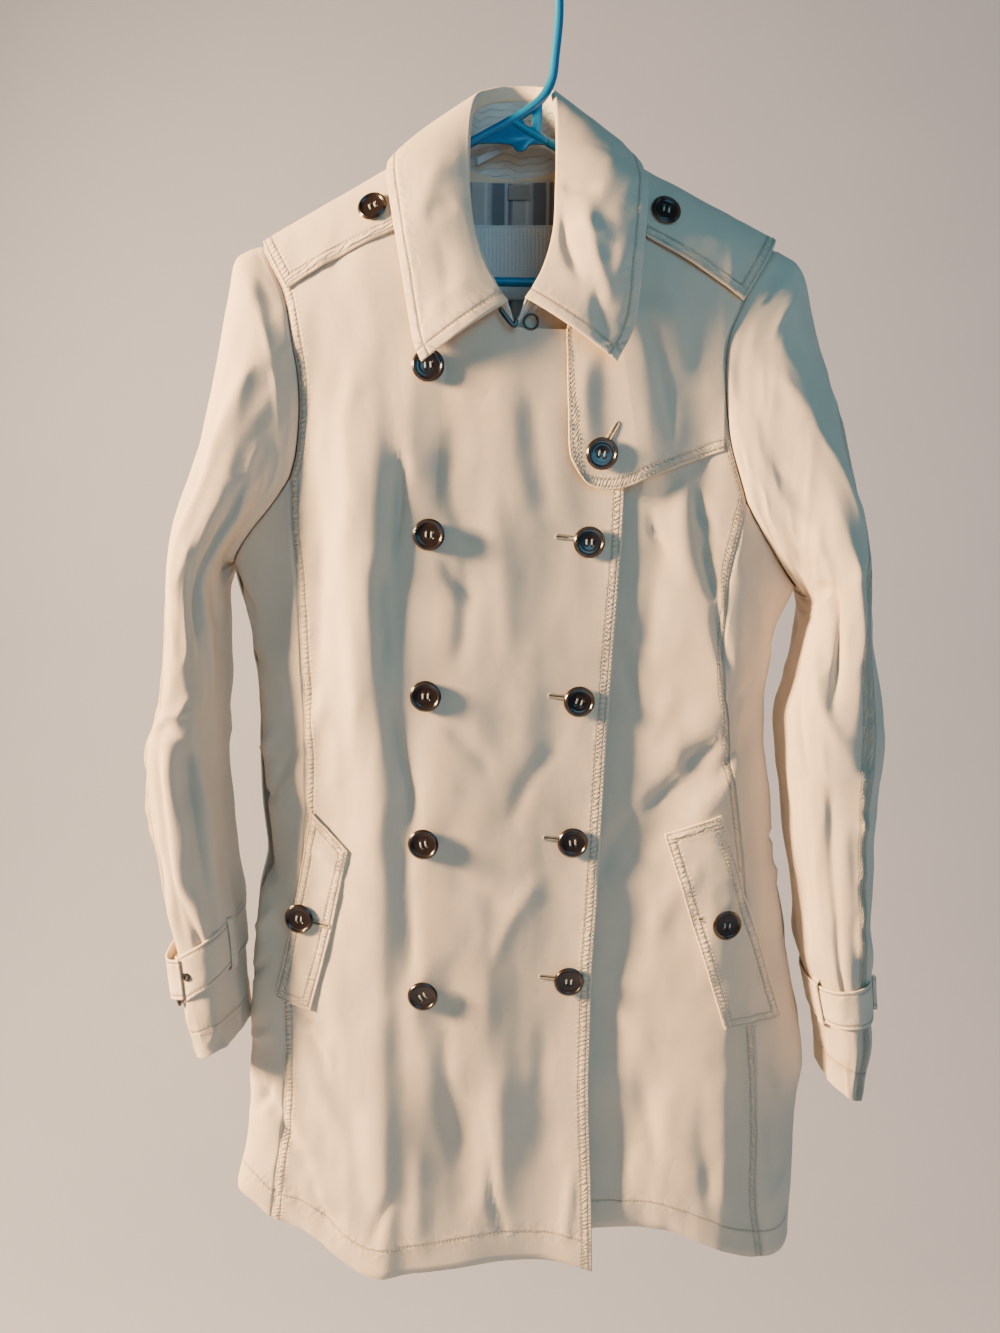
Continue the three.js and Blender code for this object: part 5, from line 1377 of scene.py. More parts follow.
def build_sleeve(side, sizes, loop, inner, creases, length, seam_angle, strap_place, seed):
    angle, place, plain = plain_sleeve(sizes, loop, inner)
    middle = plain.mean(axis=1, keepdims=True)
    normals = towards(grid_normals(plain, True), plain - middle)
    relief = sleeve_relief(creases, angle, place, length, seam_angle, strap_place, seed)
    relief = relief * ease(place / 0.05)
    down = grid_lengths(plain, 0)
    gather = unevenness(np.degrees(angle) / 9, down / 20, seed + 5) * np.exp(-((down - 7) / 6) ** 2)
    relief = relief + 0.8 * gather - 0.8 * np.exp(-(down / 1.5) ** 2)
    from_end = down[-1:] - down
    gather = unevenness(np.degrees(angle) / 8, from_end / 30, seed + 6)
    relief = relief + 0.4 * gather * np.exp(-((from_end - CUFF_TURN) / 6) ** 2)
    outer = plain + normals * relief[..., None]
    normals = towards(grid_normals(outer, True), normals)
    seam = seam_line(seam_angle, place)
    from_seam = np.abs(degrees_from(angle, seam)) * MM_PER_DEGREE
    weave = np.stack([np.degrees(angle) * 0.9, down, np.zeros_like(down)], axis=-1)
    sewn = np.stack([from_seam + 1.0, from_end - CUFF_TURN, np.exp(-(from_end / 1.2) ** 2)], axis=-1)
    name = f"cloth_sleeve_{side}"
    obj = shell(name, outer, normals, weave, sewn, closed=True)
    _, cut_length, cut_area = cut_size(plain, closed=True)
    cut_width, _, _ = cut_size(plain[place[:, 0] > HEAD_SHARE], closed=True)
    sheets[name] = finished(obj, GABARDINE, f"sleeve_{side}"), (cut_width, cut_length, cut_area)
    return sleeve_rows(outer, normals, seam, np.argmin(np.abs(from_end[:, 0] - CUFF_TURN)))


LEFT_LENGTH, LEFT_STRAP_PLACE, LEFT_SEAM = 660, 0.872, 33
RIGHT_LENGTH, RIGHT_STRAP_PLACE, RIGHT_SEAM = 690, 0.865, 66
both_sleeves = build_sleeve("left", SLEEVE_LEFT, LOOP_LEFT, INNER_LEFT, LEFT_SLEEVE_CREASES,
                            LEFT_LENGTH, LEFT_SEAM, LEFT_STRAP_PLACE, 101)
both_sleeves += build_sleeve("right", SLEEVE_RIGHT, LOOP_RIGHT, INNER_RIGHT, RIGHT_SLEEVE_CREASES,
                             RIGHT_LENGTH, RIGHT_SEAM, RIGHT_STRAP_PLACE, 131)
stitch_piece("stitches_sleeves", both_sleeves)

# %% [markdown]
# ## What lies on the trunk
# The storm flap, the shoulder straps and the pocket welts are cut from the same surface as the panels
# under them and moved out. They have double rows of stitches along their edges. Their own creases are
# few, because they are two layers thick.

# %% Outlines of the laid pieces
FLAP_NECK = [(29, -292), (38, -250), (48, -214), (51, -180), (52, -152)]
FLAP_SHOULDER_END = (193, -222)
FLAP_NECK_PARTS, FLAP_SHOULDER_PARTS = 4, 5
FLAP_BOTTOM = [(40, -398), (50, -407), (64, -410), (77, -408), (99, -399), (133, -387), (153, -380)]
FLAP_LEFT = [(40, -398), (33, -384), (31, -350), (29, -292)]
FLAP_RIGHT = [(153, -380), (152, -341), (151, -301), (165, -265), (179, -243), FLAP_SHOULDER_END]
STRAP_LEFT = [(-186, -208, 52), (-99, -99, 58)]
STRAP_RIGHT = [(88, 88, 56), (164, 194, 63)]
STRAP_BEHIND = -8
WELT_LEFT = dict(
    bottom=[(-213, -836), (-181, -843)], top=[(-177, -672), (-145, -702)],
    left=[(-213, -836), (-192, -752), (-177, -672)], right=[(-181, -843), (-162, -776), (-145, -702)],
)
WELT_RIGHT = dict(
    bottom=[(166, -857), (218, -854)], top=[(114, -690), (158, -673)],
    left=[(166, -857), (114, -690)], right=[(218, -854), (158, -673)],
)
FLAP_CREASES = table(
    CREASE_COLUMNS,
    (58, -170, 84, -262, 6, 6, 1.8, -0.4),
    (80, -250, 116, -380, -5, 6, -2.6, 0.6),
    (96, -230, 128, -330, 5, 10, 2.2, -0.3),
    (60, -300, 66, -390, 3, 9, -1.2, 0.3),
    (120, -250, 140, -340, 4, 8, -1.4, 0.3),
    (45, -300, 50, -390, 3, 8, 1.0, 0.2),
)


# %% Flap, straps and welts
def flap_relief(side, x, z):
    return trunk_relief(side, x, z) * 0.55 + crease_height(FLAP_CREASES, x, z)


def quiet_relief(side, x, z):
    return trunk_relief(side, x, z) * 0.9 + 0.35 * unevenness(x / 14, z / 18, 61)


def laid_piece(name, grid, lift, relief, edges, seed):
    """A cloth piece on the front of the trunk, with double rows along the given edges."""
    flat, out = on_trunk(FRONT, grid, lift, relief)
    outer, sewn = worked_edges(flat, out, stitched=edges, seed=seed)
    normals = cloth_piece(name, outer, out, sewn)
    return [row_near_edge(outer, normals, edge, offset, 0.03, 0.97)
            for edge in edges for offset in (ROW_NEAR, ROW_FAR)]


FLAP_SHARES = near_edges(steps((FLAP_NECK_PARTS + FLAP_SHOULDER_PARTS) * FINE), 120)
FLAP_UP = np.unique(np.concatenate([close_at_end(steps(60)), [0.004, 0.009, 0.016, 0.025, 0.035, 0.048]]))
flap_top = chain(parts(FLAP_NECK, FLAP_NECK_PARTS),
                 parts([FLAP_NECK[-1], FLAP_SHOULDER_END], FLAP_SHOULDER_PARTS))
flap_grid = panel(parts(FLAP_BOTTOM, FLAP_NECK_PARTS + FLAP_SHOULDER_PARTS), flap_top,
                  to_angles(along(FLAP_LEFT, FLAP_UP)), to_angles(along(FLAP_RIGHT, FLAP_UP)), FLAP_SHARES)
laid_rows = laid_piece("cloth_storm_flap", clear_neck(flap_grid, FLAP_NECK, 1), flap_lift, flap_relief,
                       ("left", "bottom"), 301)


# %% Shoulder straps
def strap_grid(ends):
    """A shoulder strap's grid, from its front edge up over the shoulder line and a little behind.

    Each end is given by the x of its lower corner, the x of its upper one and its length down.
    """
    share = np.unique(1 - close_at_end(steps(30)))[::-1]
    behind = np.linspace(0, STRAP_BEHIND, 7)[1:]
    share_all = np.concatenate([share, np.zeros(len(behind))])
    sides = []
    for x, top, below in ends:
        depth = np.concatenate([below * share, behind])
        line_x = top + (x - top) * share_all
        sides.append(to_angles(np.stack([line_x, shoulder_height(line_x) - depth], axis=-1)))
    s = near_edges(steps(40), 90)[None, :, None]
    return sides[0][:, None] * (1 - s) + sides[1][:, None] * s


laid_rows += laid_piece("cloth_shoulder_strap_left", strap_grid(STRAP_LEFT), LAID_ON, quiet_relief,
                        ("left", "bottom"), 321)
laid_rows += laid_piece("cloth_shoulder_strap_right", strap_grid(STRAP_RIGHT), SECOND_LAYER,
                        quiet_relief, ("right", "bottom"), 331)


# %% Pocket welts
def welt_grid(edges):
    across, up = near_edges(steps(18), 42, (0.8, 1.8, 3.2, 5)), near_edges(steps(60), 170)
    sides = [to_angles(along(edges[name], up)) for name in ("left", "right")]
    ends = [to_angles(along(edges[name], across)) for name in ("bottom", "top")]
    return fill_patch(*ends, *sides, across)


ALL_EDGES = ("left", "right", "bottom", "top")
laid_rows += laid_piece("cloth_pocket_welt_left", welt_grid(WELT_LEFT), LAID_ON, quiet_relief,
                        ALL_EDGES, 341)
laid_rows += laid_piece("cloth_pocket_welt_right", welt_grid(WELT_RIGHT), WELT_ON, quiet_relief,
                        ALL_EDGES, 351)
stitch_piece("stitches_laid_pieces", laid_rows)

# %% [markdown]
# ## The collar
# A shirt-like collar has two parts. The stand rises from the neck seam, and the fall comes down over
# it from the fold. Fold and outer edge are two lines, given as a table of places round the neck. The
# fall begins inside the neck, rolls over the fold in a half circle and then swells a little on its way
# down, because two layers of cloth don't crease sharply. The stand is quilted with wavy rows of
# stitches, which stiffen it.

# %% Sizes of the collar
COLLAR = table(
    "fx fy fz ex ey ez lift",
    (-17, -57, -272, -81, -58, -315, 11.5),
    (-27, -56, -257, -87, -56, -300, 10.5),
    (-36, -54, -240, -92, -52, -272, 9),
    (-43, -50, -215, -97, -48, -240, 9),
    (-46, -43, -185, -103, -42, -205, 9),
    (-46, -31, -150, -108, -31, -172, 11),
    (-44, -12, -122, -107, 0, -151, 0),
    (-39, 7, -103, -96, 26, -150, 0),
    (-26, 21, -93, -58, 42, -158, 0),
    (-8, 27, -90, -9, 47, -162, 0),
    (10, 22, -92, 40, 42, -160, 0),
    (20, 8, -100, 76, 27, -153, 0),
    (23, -10, -122, 87, 0, -152, 0),
    (23, -30, -152, 91, -26, -176, 13),
    (22, -43, -188, 89, -42, -208, 13),
    (20, -50, -220, 85, -50, -246, 13),
    (12, -55, -248, 80, -56, -288, 13),
    (-1, -58, -270, 67, -60, -315, 13),
)
COLLAR_PUFF = 6
FOLD_LIFT = 2.6
FOLD_INSIDE = 2.3
FOLD_BAND = (9, 7, 5, 3, 1.4, 0)
ROLL_STEPS, ROLL_HEIGHT = 10, 2.2
COLLAR_ROW = 8

COLLAR_CREASES = table(
    CREASE_COLUMNS,
    (24, -196, 44, -262, 4, 6, -3.2, 0.5),
    (36, -190, 62, -280, 3, 9, 3.0, -0.4),
    (20, -184, 56, -188, 3, 4.5, -2.0, 0.4),
    (30, -214, 66, -232, -3, 7, 1.8, 0.2),
    (52, -256, 62, -306, 3, 6, -1.8, 0.3),
    (70, -200, 74, -290, 3, 9, 1.2, 0.2),
    (-60, -160, -84, -220, 4, 9, 1.6, -0.2),
    (-66, -220, -60, -290, -4, 8, -1.3, 0.2),
    (-88, -190, -84, -280, 3, 9, 1.2, 0.2),
    (-52, -200, -78, -216, 2, 7, -0.9, 0.2),
    (-40, -256, -76, -288, 3, 7, 1.2, 0.2),
)


# %% Fold line, edge and neck seam
def collar_line(kind, place):
    """The fold (f) or the edge (e) at places from 0 to 1; the edge keeps its lift off the trunk."""
    stations = steps(len(COLLAR["fx"]) - 1)
    names = (kind + "x", kind + "y", kind + "z", "lift")
    x, y, z, lift = (smooth(stations, COLLAR[name], place) for name in names)
    if kind == "e":
        face = trunk_point(FRONT, round_angle(x, z), z)[..., 1]
        y = np.where(lift > 5, np.minimum(y, face - lift), y)
    return np.stack([x, y, z], axis=-1)


def neck_seam(fineness):
    """Points and outward directions round the neck, with the collar's place that belongs to each."""
    lines = [
        (FRONT, along(NECK_LEFT[::-1], steps(NECK_PARTS * fineness)), lap_lift),
        (BACK, along(NECK_BACK, steps(BACK_NECK_PARTS * fineness)), 0.0),
        (FRONT, along(NECK_RIGHT[::-1], steps(NECK_PARTS * fineness)), 0.0),
    ]
    found = [on_trunk(side, to_angles(line)[None], lift) for side, line, lift in lines]
    points = chain(*[points[0] for points, _ in found])
    out = chain(*[normals[0] for _, normals in found])
    parts = 2 * NECK_PARTS + BACK_NECK_PARTS
    last = len(COLLAR["fx"]) - 1
    place = np.interp(steps(parts * fineness), [0, NECK_PARTS / parts, 1 - NECK_PARTS / parts, 1],
                      [0, 6 / last, 12 / last, 1])
    return points, out, place


SEAM_POINTS, SEAM_OUT, SEAM_PLACE = neck_seam(12)
FOLD_LINE, COLLAR_EDGE = collar_line("f", SEAM_PLACE), collar_line("e", SEAM_PLACE)
print("neck seam in millimetres:", round(float(grid_lengths(SEAM_POINTS[None], 1)[0, -1])))


# %% The fall
def build_fall():
    """From inside the neck up over the fold and down to the edge, one row after another."""
    v = np.unique(np.concatenate([steps(60), 1 - np.array([0.9, 2, 3.4, 5, 6.5, 8, 9.5, 11]) / 76]))
    ruled = FOLD_LINE[None] * (1 - v)[:, None, None] + COLLAR_EDGE[None] * v[:, None, None]
    lean = grid_normals(ruled, False)
    lean = towards(lean, lean * 0 + np.array([0, -1, 0]) * (ruled[..., 1:2] < 0) + ruled * [1, 1, 0])
    puff = FOLD_LIFT * (1 - v) + 4 * COLLAR_PUFF * v * (1 - v)
    relief = crease_height(COLLAR_CREASES, ruled[..., 0], ruled[..., 2]) * (ruled[..., 1] < -8)
    run = grid_lengths(ruled, 1)
    relief = relief + 0.9 * unevenness(run / 30, v[:, None] * 2.4, 401) * np.sin(np.pi * v)[:, None]
    fall = ruled + lean * (puff[:, None] + relief * ease(v / 0.12)[:, None])[..., None]
    up, outward = unit(FOLD_LINE - COLLAR_EDGE), lean[0]
    down_in = unit(SEAM_POINTS - FOLD_LINE)
    inward = unit(-outward - down_in * np.sum(-outward * down_in, axis=-1, keepdims=True))
    rolled = []
    for turn in np.linspace(math.pi, 0, ROLL_STEPS + 2)[1:-1]:
        to_side, rise = math.cos(turn), up * ROLL_HEIGHT * math.sin(turn)
        side = outward * (to_side * FOLD_LIFT) if to_side > 0 else inward * (-to_side * FOLD_INSIDE)
        rolled.append(FOLD_LINE + side + rise)
    band = [FOLD_LINE + inward * FOLD_INSIDE + down_in * depth for depth in FOLD_BAND]
    outer = np.concatenate([np.array(band), np.array(rolled), fall])
    inside = len(FOLD_BAND)
    guide = np.concatenate([np.tile(inward, (inside, 1, 1)), np.tile(up, (ROLL_STEPS, 1, 1)), lean])
    edges = ("top", "left", "right")
    outer, sewn = worked_edges(outer, towards(grid_normals(outer, False), guide),
                               single=[(edge, COLLAR_ROW) for edge in edges], seed=411)
    normals = cloth_piece("cloth_collar_fall", outer, guide, sewn, cut=cut_size(outer[inside:]))
    start = (inside + ROLL_STEPS + 1) / len(outer)
    return [row_near_edge(outer, normals, edge, COLLAR_ROW, low, high)
            for edge, low, high in zip(edges, (0.045, start, start), (0.955, 0.91, 0.91))]


# %% The stand
def build_stand():
    v = near_edges(steps(22), 60, (0.8, 1.8, 3.2))[:, None, None]
    ruled = SEAM_POINTS[None] * (1 - v) + FOLD_LINE[None] * v
    normals = towards(grid_normals(ruled, False), np.tile(SEAM_OUT, (len(v), 1, 1)))
    run, rise = grid_lengths(ruled, 1), grid_lengths(ruled, 0)
    pucker = unevenness(run / 9, rise / 11, 421) + 0.5 * unevenness(run / 4, rise / 5, 425)
    middle = np.sin(np.pi * v[..., 0])
    outer = ruled + normals * (0.75 * pucker * middle)[..., None]
    _, sewn = worked_edges(outer, normals, seed=422)
    cloth_piece("cloth_collar_stand", outer, normals, sewn, QUILTED)


collar_rows = build_fall()
build_stand()
stitch_piece("stitches_collar", collar_rows)

# %% [markdown]
# ## Inside the neck
# Through the open collar the lining shows, with a woven label sewn on it and a small tab at the seam.
# All three lie on the inside of the back, one on the other.

# %% Lining, label and tab
# For each: its left, its right, its top, its bottom, how far inside the back it lies, its thickness
NECK_INSIDE = {
    "back_lining": (-78, 58, -161, -330, 3.4, 1.2, LINING, "lining"),
    "neck_label": (-44, 40, -193, -252, 5.4, 1.0, LABEL, "label"),
    "size_tab": (-15, 4, -162, -173, 5.5, 1.0, SIZE_TAPE, "size_tab"),
}
LABEL_ROW = 1.6


def neck_inside_relief(side, x, z):
    """What the lining shows of the back's own swells, and soft sags of its own."""
    return trunk_relief(side, x, z) * 0.8 - 0.7 * (1 + unevenness(x / 24, z / 40, 431)) / 2


label_rows = []
for node, (x_left, x_right, high, low, inside, thickness, material, slot) in NECK_INSIDE.items():
    across, up = steps(48)[None, :], steps(40)[:, None]
    x, z = x_left + (x_right - x_left) * across + 0 * up, low + (high - low) * up + 0 * across
    patch = np.stack([round_angle(x, z), z], axis=-1)
    outer, out = on_trunk(BACK, patch, -inside, neck_inside_relief)
    sewn = np.full(outer.shape, FAR) * [1, 1, 0]
    normals = cloth_piece("cloth_" + node, outer, out, sewn, material, thickness)
    if node == "neck_label":
        seen = outer - normals * thickness
        label_rows += [row_near_edge(seen, -normals, edge, LABEL_ROW) for edge in ALL_EDGES]
stitch_piece("stitches_label", label_rows, GREY_THREAD, 2.2, 1.7, 0.4)

# %% [markdown]
# ## Buttons
# Each button is turned from one blank: a disc with a raised rim, a fine groove inside it and a hollow
# middle with four holes. One height formula over circles of points gives them all. The grey thread
# goes twice through each pair of holes, and a short shank of it holds the button off the cloth.

# %% Sizes of the buttons
BUTTON_RADIUS, SMALL_BUTTON_RADIUS, BUTTON_HEIGHT, BUTTON_GAP = 12.5, 11.5, 4.2, 0.35
HOLE_PLACE, HOLE_RADIUS = 2.1, 1.05
BUTTON_SIDES = 64
BUTTON_LEVEL = BUTTON_HEIGHT - 1.35
LAYERS = {
    "top": (lap_lift, trunk_relief),
    "flap": (flap_lift, flap_relief),
    "laid": (LAID_ON, quiet_relief),
    "welt": (WELT_ON, quiet_relief),
    "second": (SECOND_LAYER, quiet_relief),
}
BUTTONS = {
    "left_1": (-76, -317, "top"), "left_2": (-76, -445, "top"), "left_3": (-80, -572, "top"),
    "left_4": (-83, -694, "top"), "left_5": (-85, -823, "top"),
    "right_1": (57, -383, "flap"), "right_2": (49, -451, "top"), "right_3": (42, -578, "top"),
    "right_4": (38, -695, "top"), "right_5": (36, -815, "top"),
    "shoulder_left": (-117, -200, "laid"), "shoulder_right": (102, -205, "second"),
    "pocket_left": (-187, -762, "laid"), "pocket_right": (164, -765, "welt"),
}


# %% Places on the layers
def layer_place(x, z, layer):
    """A point on one of the layers of the trunk's front, and the outward direction there."""
    lift, relief = LAYERS[layer]
    spot = to_angles(np.array([[x, z]], float))[None]
    point, out = on_trunk(FRONT, spot, lift, relief)
    return point[0, 0], out[0, 0]


def flat_axes(out, turn=0.0):
    """Two directions square to out: one level and to the right, turned by an angle, and one up."""
    across = unit(np.cross(np.array([0, 0, 1.0]), out))
    across = across if across[0] > 0 else -across
    up = unit(np.cross(out, across))
    up = up if up[2] > 0 else -up
    return (across * math.cos(turn) + up * math.sin(turn), up * math.cos(turn) - across * math.sin(turn))


# %% Turn the buttons and sew them on
def button_blank(radius):
    """Rings of points as r, h: the face from the middle outwards, the side, and the shank."""
    hollow, rim_rings = np.linspace(0.8, radius - 3.6, 14), np.linspace(radius - 3.3, radius - 0.5, 14)
    r = np.concatenate([[0.01], hollow, rim_rings])
    rim = 1.25 * np.exp(-((r - radius + 1.7) / 0.95) ** 2)
    groove = 0.5 * np.exp(-((r - radius + 4.4) / 0.3) ** 2)
    step = 0.45 * ease((r - radius + 4.9) / 0.5) * ease((radius - 3.2 - r) / 0.6)
    face = BUTTON_LEVEL + rim - groove + step - 0.35 * ease(1 - r / (radius - 5))
    side = np.array([(radius - 0.15, 3.1), (radius, 2.5), (radius - 0.2, 1.9), (radius - 1.5, 1.2),
                     (3.2, 1.0), (2.4, 0.9), (2.2, 0.4), (2.3, -0.6)])
    return np.concatenate([r, side[:, 0]]), np.concatenate([face, side[:, 1]]), len(r)


def build_button(name, x, z, layer, seed):
    """A button with its holes sunk as soft pits, and the rows for its thread."""
    chance = np.random.default_rng(seed)
    radius = SMALL_BUTTON_RADIUS if "shoulder" in name else BUTTON_RADIUS
    place, out = layer_place(x, z, layer)
    out = unit(out + 0.035 * chance.uniform(-1, 1, 3))
    across, up = flat_axes(out, chance.uniform(-0.5, 0.5))
    r, h, on_face = button_blank(radius)
    angle = 2 * np.pi * np.arange(BUTTON_SIDES) / BUTTON_SIDES
    u, v = r[:, None] * np.cos(angle), r[:, None] * np.sin(angle)
    height = h[:, None] + 0 * u
    near = np.hypot(np.abs(u) - HOLE_PLACE, np.abs(v) - HOLE_PLACE)
    pit = 1.5 * ease((HOLE_RADIUS + 0.25 - near) / 0.5)
    height[:on_face] -= pit[:on_face]
    base = place + out * BUTTON_GAP
    grid = base + across * u[..., None] + up * v[..., None] + out * height[..., None]
    obj = mesh_object(f"button_{name}", [grid.reshape(-1, 3)], [quads(len(r), BUTTON_SIDES, True)[:, ::-1]])
    finished(obj, BUTTON, f"button_{name}")
    rows = []
    for side in (-1, 1):
        for offset in (-0.36, 0.0, 0.36):
            middle = base + across * (side * HOLE_PLACE + offset) + out * BUTTON_LEVEL
            rows.append((np.array([middle - up * 2.5, middle + up * 2.5]), np.array([out, out])))
    return rows


thread_rows = []
for seed, (name, (x, z, layer)) in enumerate(BUTTONS.items()):
    thread_rows += build_button(name, x, z, layer, 501 + seed)
stitch_piece("button_threads", thread_rows, GREY_THREAD, pitch=5, length=5.6, width=0.62)
print("buttons:", len(BUTTONS))

# %% [markdown]
# ## Buttonholes
# On the side that laps over, each button sits in a worked hole whose free end shows beside it: a slit
# between two dense rows of thread, closed by a bar. The threads are short bars set across the slit.
# A dark strip in each slit is painted shade: the dark of the opening, not a cloth or thread of its own.

# %% Places of the buttonholes
HOLES = {
    "right_1": ((69, -360), (57, -381), "flap"),
    "right_2": ((23.5, -446.5), (47, -449), "top"),
    "right_3": ((18.5, -573), (40, -576), "top"),
    "right_4": ((15, -690.5), (36, -694), "top"),
    "right_5": ((12.5, -811), (34, -814), "top"),
    "pocket_right": ((143, -760.5), (162, -764), "welt"),
    "pocket_left": ((-162.5, -767), (-185, -763), "laid"),
}
HOLE_HALF, LIP_LIFT, SLIT_HALF, SLIT_PARTS = 1.5, 0.22, 0.42, 12
# A dark finish for the buttonhole slits and the eyelet's hole: painted shade of an opening.
OPENING_SHADE = plain_paint("painted shade in openings", (0.045, 0.035, 0.026), (0.085, 0.066, 0.05), 0.8, 0.002)


# %% Work the buttonholes
def build_hole(start, end, layer, seed):
    """Thread bars across both lips of the slit and round its free end, and a dark strip of painted shade in
    the slit.
    """
    chance = np.random.default_rng(seed)
    first, out = layer_place(*start, layer)
    last, _ = layer_place(*end, layer)
    ahead = unit(last - first)
    side = unit(np.cross(out, ahead))
    length = np.linalg.norm(last - first)
    at = np.arange(0.6, length, 0.62)
    places, directions = [], []
    for sign in (-1, 1):
        wobble = chance.uniform(-0.12, 0.12, len(at))[:, None]
        places.append(first + ahead * at[:, None] + side * (sign * HOLE_HALF + wobble) + out * LIP_LIFT)
        directions.append(np.tile(side, (len(at), 1)) + ahead * chance.uniform(-0.15, 0.15, (len(at), 1)))
    turn = np.linspace(-np.pi / 2, np.pi / 2, 9)[:, None]
    radial = -ahead * np.cos(turn) + side * np.sin(turn)
    places.append(first + ahead * 0.4 + radial * HOLE_HALF + out * LIP_LIFT)
    directions.append(radial)
    places, directions = np.concatenate(places), unit(np.concatenate(directions))
    bars = thread_bars(places, np.tile(out, (len(places), 1)), directions, 2.3, 0.62, 0.05)
    # A dark strip just above the cloth along the slit: painted shade of the opening.
    line = first + ahead * np.linspace(0.3, length, SLIT_PARTS)[:, None] + out * 0.12
    return bars, np.stack([line - side * SLIT_HALF, line + side * SLIT_HALF])


# %% Join them to two pieces
hole_points, hole_faces, slit_shade_points, total = [], [], [], 0
for seed, (start, end, layer) in enumerate(HOLES.values()):
    (bars, shape), slit = build_hole(start, end, layer, 541 + seed)
    hole_points.append(bars)
    hole_faces += [face + total for face in shape]
    slit_shade_points.append(slit.reshape(-1, 3))
    total += len(bars)
finished(mesh_object("buttonhole_threads", hole_points, hole_faces), DARK_THREAD)
# The second piece is the painted shade in the slits.
slit_shade_faces = [quads(2, SLIT_PARTS, False) + 2 * SLIT_PARTS * k for k in range(len(slit_shade_points))]
finished(mesh_object("buttonhole_slits", slit_shade_points, slit_shade_faces), OPENING_SHADE)

# %% [markdown]
# ## Cuffs
# A strap goes round each sleeve above its hem, held by a keeper loop. Its loose end runs out of a
# small buckle. Strap, keeper and end are cut on the plain form of the sleeve, at a height that grows
# from layer to layer. Their places are in degrees round the sleeve and shares of its length.

# %% Sizes of the cuffs
STRAP_HALF = 15.5
CUFF_LIFT = {"strap": 2.3, "keeper": 4.5, "end": 8.2, "buckle": 2.7}
CUFFS = {
    "left": dict(sizes=SLEEVE_LEFT, length=LEFT_LENGTH, middle=LEFT_STRAP_PLACE, tilt=14, keeper=148,
                 end=(62, -25), drop=-12, buckle=40),
    "right": dict(sizes=SLEEVE_RIGHT, length=RIGHT_LENGTH, middle=RIGHT_STRAP_PLACE, tilt=-4, keeper=150,
                  end=(20, -40), drop=30, buckle=-20),
}
EYELET_ANGLE = 72
KEEPER_HALF_TURN, KEEPER_OVER_STRAP = 5, 1.35
END_WIDTH, TAPER_FROM = 0.86, 0.86
STRAP_ROW = 3


# %% Straps, keepers and loose ends
def sleeve_frame(sizes, angle, place):
    """Points of the plain sleeve with their outward and downward directions."""
    point = sleeve_point(sizes, angle, place)
    across = sleeve_point(sizes, angle + 0.02, place) - sleeve_point(sizes, angle - 0.02, place)
    down = sleeve_point(sizes, angle, place + 0.01) - sleeve_point(sizes, angle, place - 0.01)
    middle = (sleeve_point(sizes, 0 * angle, place) + sleeve_point(sizes, 0 * angle + np.pi, place)) / 2
    return point, towards(unit(np.cross(across, down)), point - middle), unit(down)


def strap_middle(cuff, angle):
    return cuff["middle"] + cuff["tilt"] * np.cos(angle) / cuff["length"]


def strip_piece(name, cuff, angle, place, lift, seed, closed=False):
    """A strip of doubled cloth on the sleeve, stitched along its long edges."""
    point, out, _ = sleeve_frame(cuff["sizes"], angle, place)
    outer = point + out * np.broadcast_to(lift, angle.shape)[..., None]
    normals = towards(grid_normals(outer, closed), out)
    far = edge_distances(outer)
    run = grid_lengths(outer, 1)
    near = np.minimum(far["bottom"], far["top"])
    gather = 0.28 * unevenness(run / 7, near / 12, seed)
    outer = outer + normals * (gather - 0.22 * np.exp(-((near - STRAP_ROW) / 1.2) ** 2))[..., None]
    sewn = np.stack([np.full(near.shape, FAR), near - STRAP_ROW, np.exp(-(near / 1.2) ** 2)], axis=-1)
    obj = shell(name, outer, normals, weave_of(outer), sewn, CLOTH, closed)
    sheets[name] = finished(obj, GABARDINE, name.removeprefix("cloth_")), cut_size(outer, closed)
    rows = [row_near_edge(outer, normals, edge, STRAP_ROW, 0.005, 1) for edge in ("bottom", "top")]
    return [(closed_line(p), closed_line(n)) for p, n in rows] if closed else rows


# %% Both cuffs
def build_cuff(side, cuff, seed):
    """A strap, its keeper and its loose end, which is cut to a point; all share v across the strip."""
    half = STRAP_HALF / cuff["length"]
    v = near_edges(steps(12), 31, (0.8, 1.8, 3.0, 4.2))[:, None] * 2 - 1
    angle = (2 * np.pi * np.arange(144) / 144)[None] + 0 * v
    rows = strip_piece(f"cloth_cuff_strap_{side}", cuff, angle, strap_middle(cuff, angle) + v * half,
                       CUFF_LIFT["strap"], seed, closed=True)

    keeper = np.radians(cuff["keeper"])
    turn = np.radians(KEEPER_HALF_TURN)
    angle = (keeper + turn * (steps(14) * 2 - 1))[None] + 0 * v
    place = strap_middle(cuff, keeper) + v * half * KEEPER_OVER_STRAP
    lift = CUFF_LIFT["keeper"] - 3.4 * ease((np.abs(v) - 0.82) / 0.18)
    rows += strip_piece(f"cloth_cuff_keeper_{side}", cuff, angle, place, lift, seed + 1)

    start, tip = cuff["end"]
    share = np.unique(np.concatenate([steps(60), TAPER_FROM + (1 - TAPER_FROM) * steps(12)]))[None]
    angle = np.radians(start + (tip - start) * share) + 0 * v
    point_in = 1 - 0.96 * np.clip((share - TAPER_FROM) / (1 - TAPER_FROM), 0, 1) ** 1.3
    place = strap_middle(cuff, angle) + (cuff["drop"] * share + 0 * v) / cuff["length"]
    place = place + v * half * END_WIDTH * point_in
    wave = 1.6 * np.sin(share * 5.2) + 0 * v
    lift = CUFF_LIFT["end"] - 3.4 * ease(1 - share / 0.25) + wave * ease(share / 0.3)
    rows += strip_piece(f"cloth_cuff_strap_end_{side}", cuff, angle, place, lift, seed + 2)
    return rows


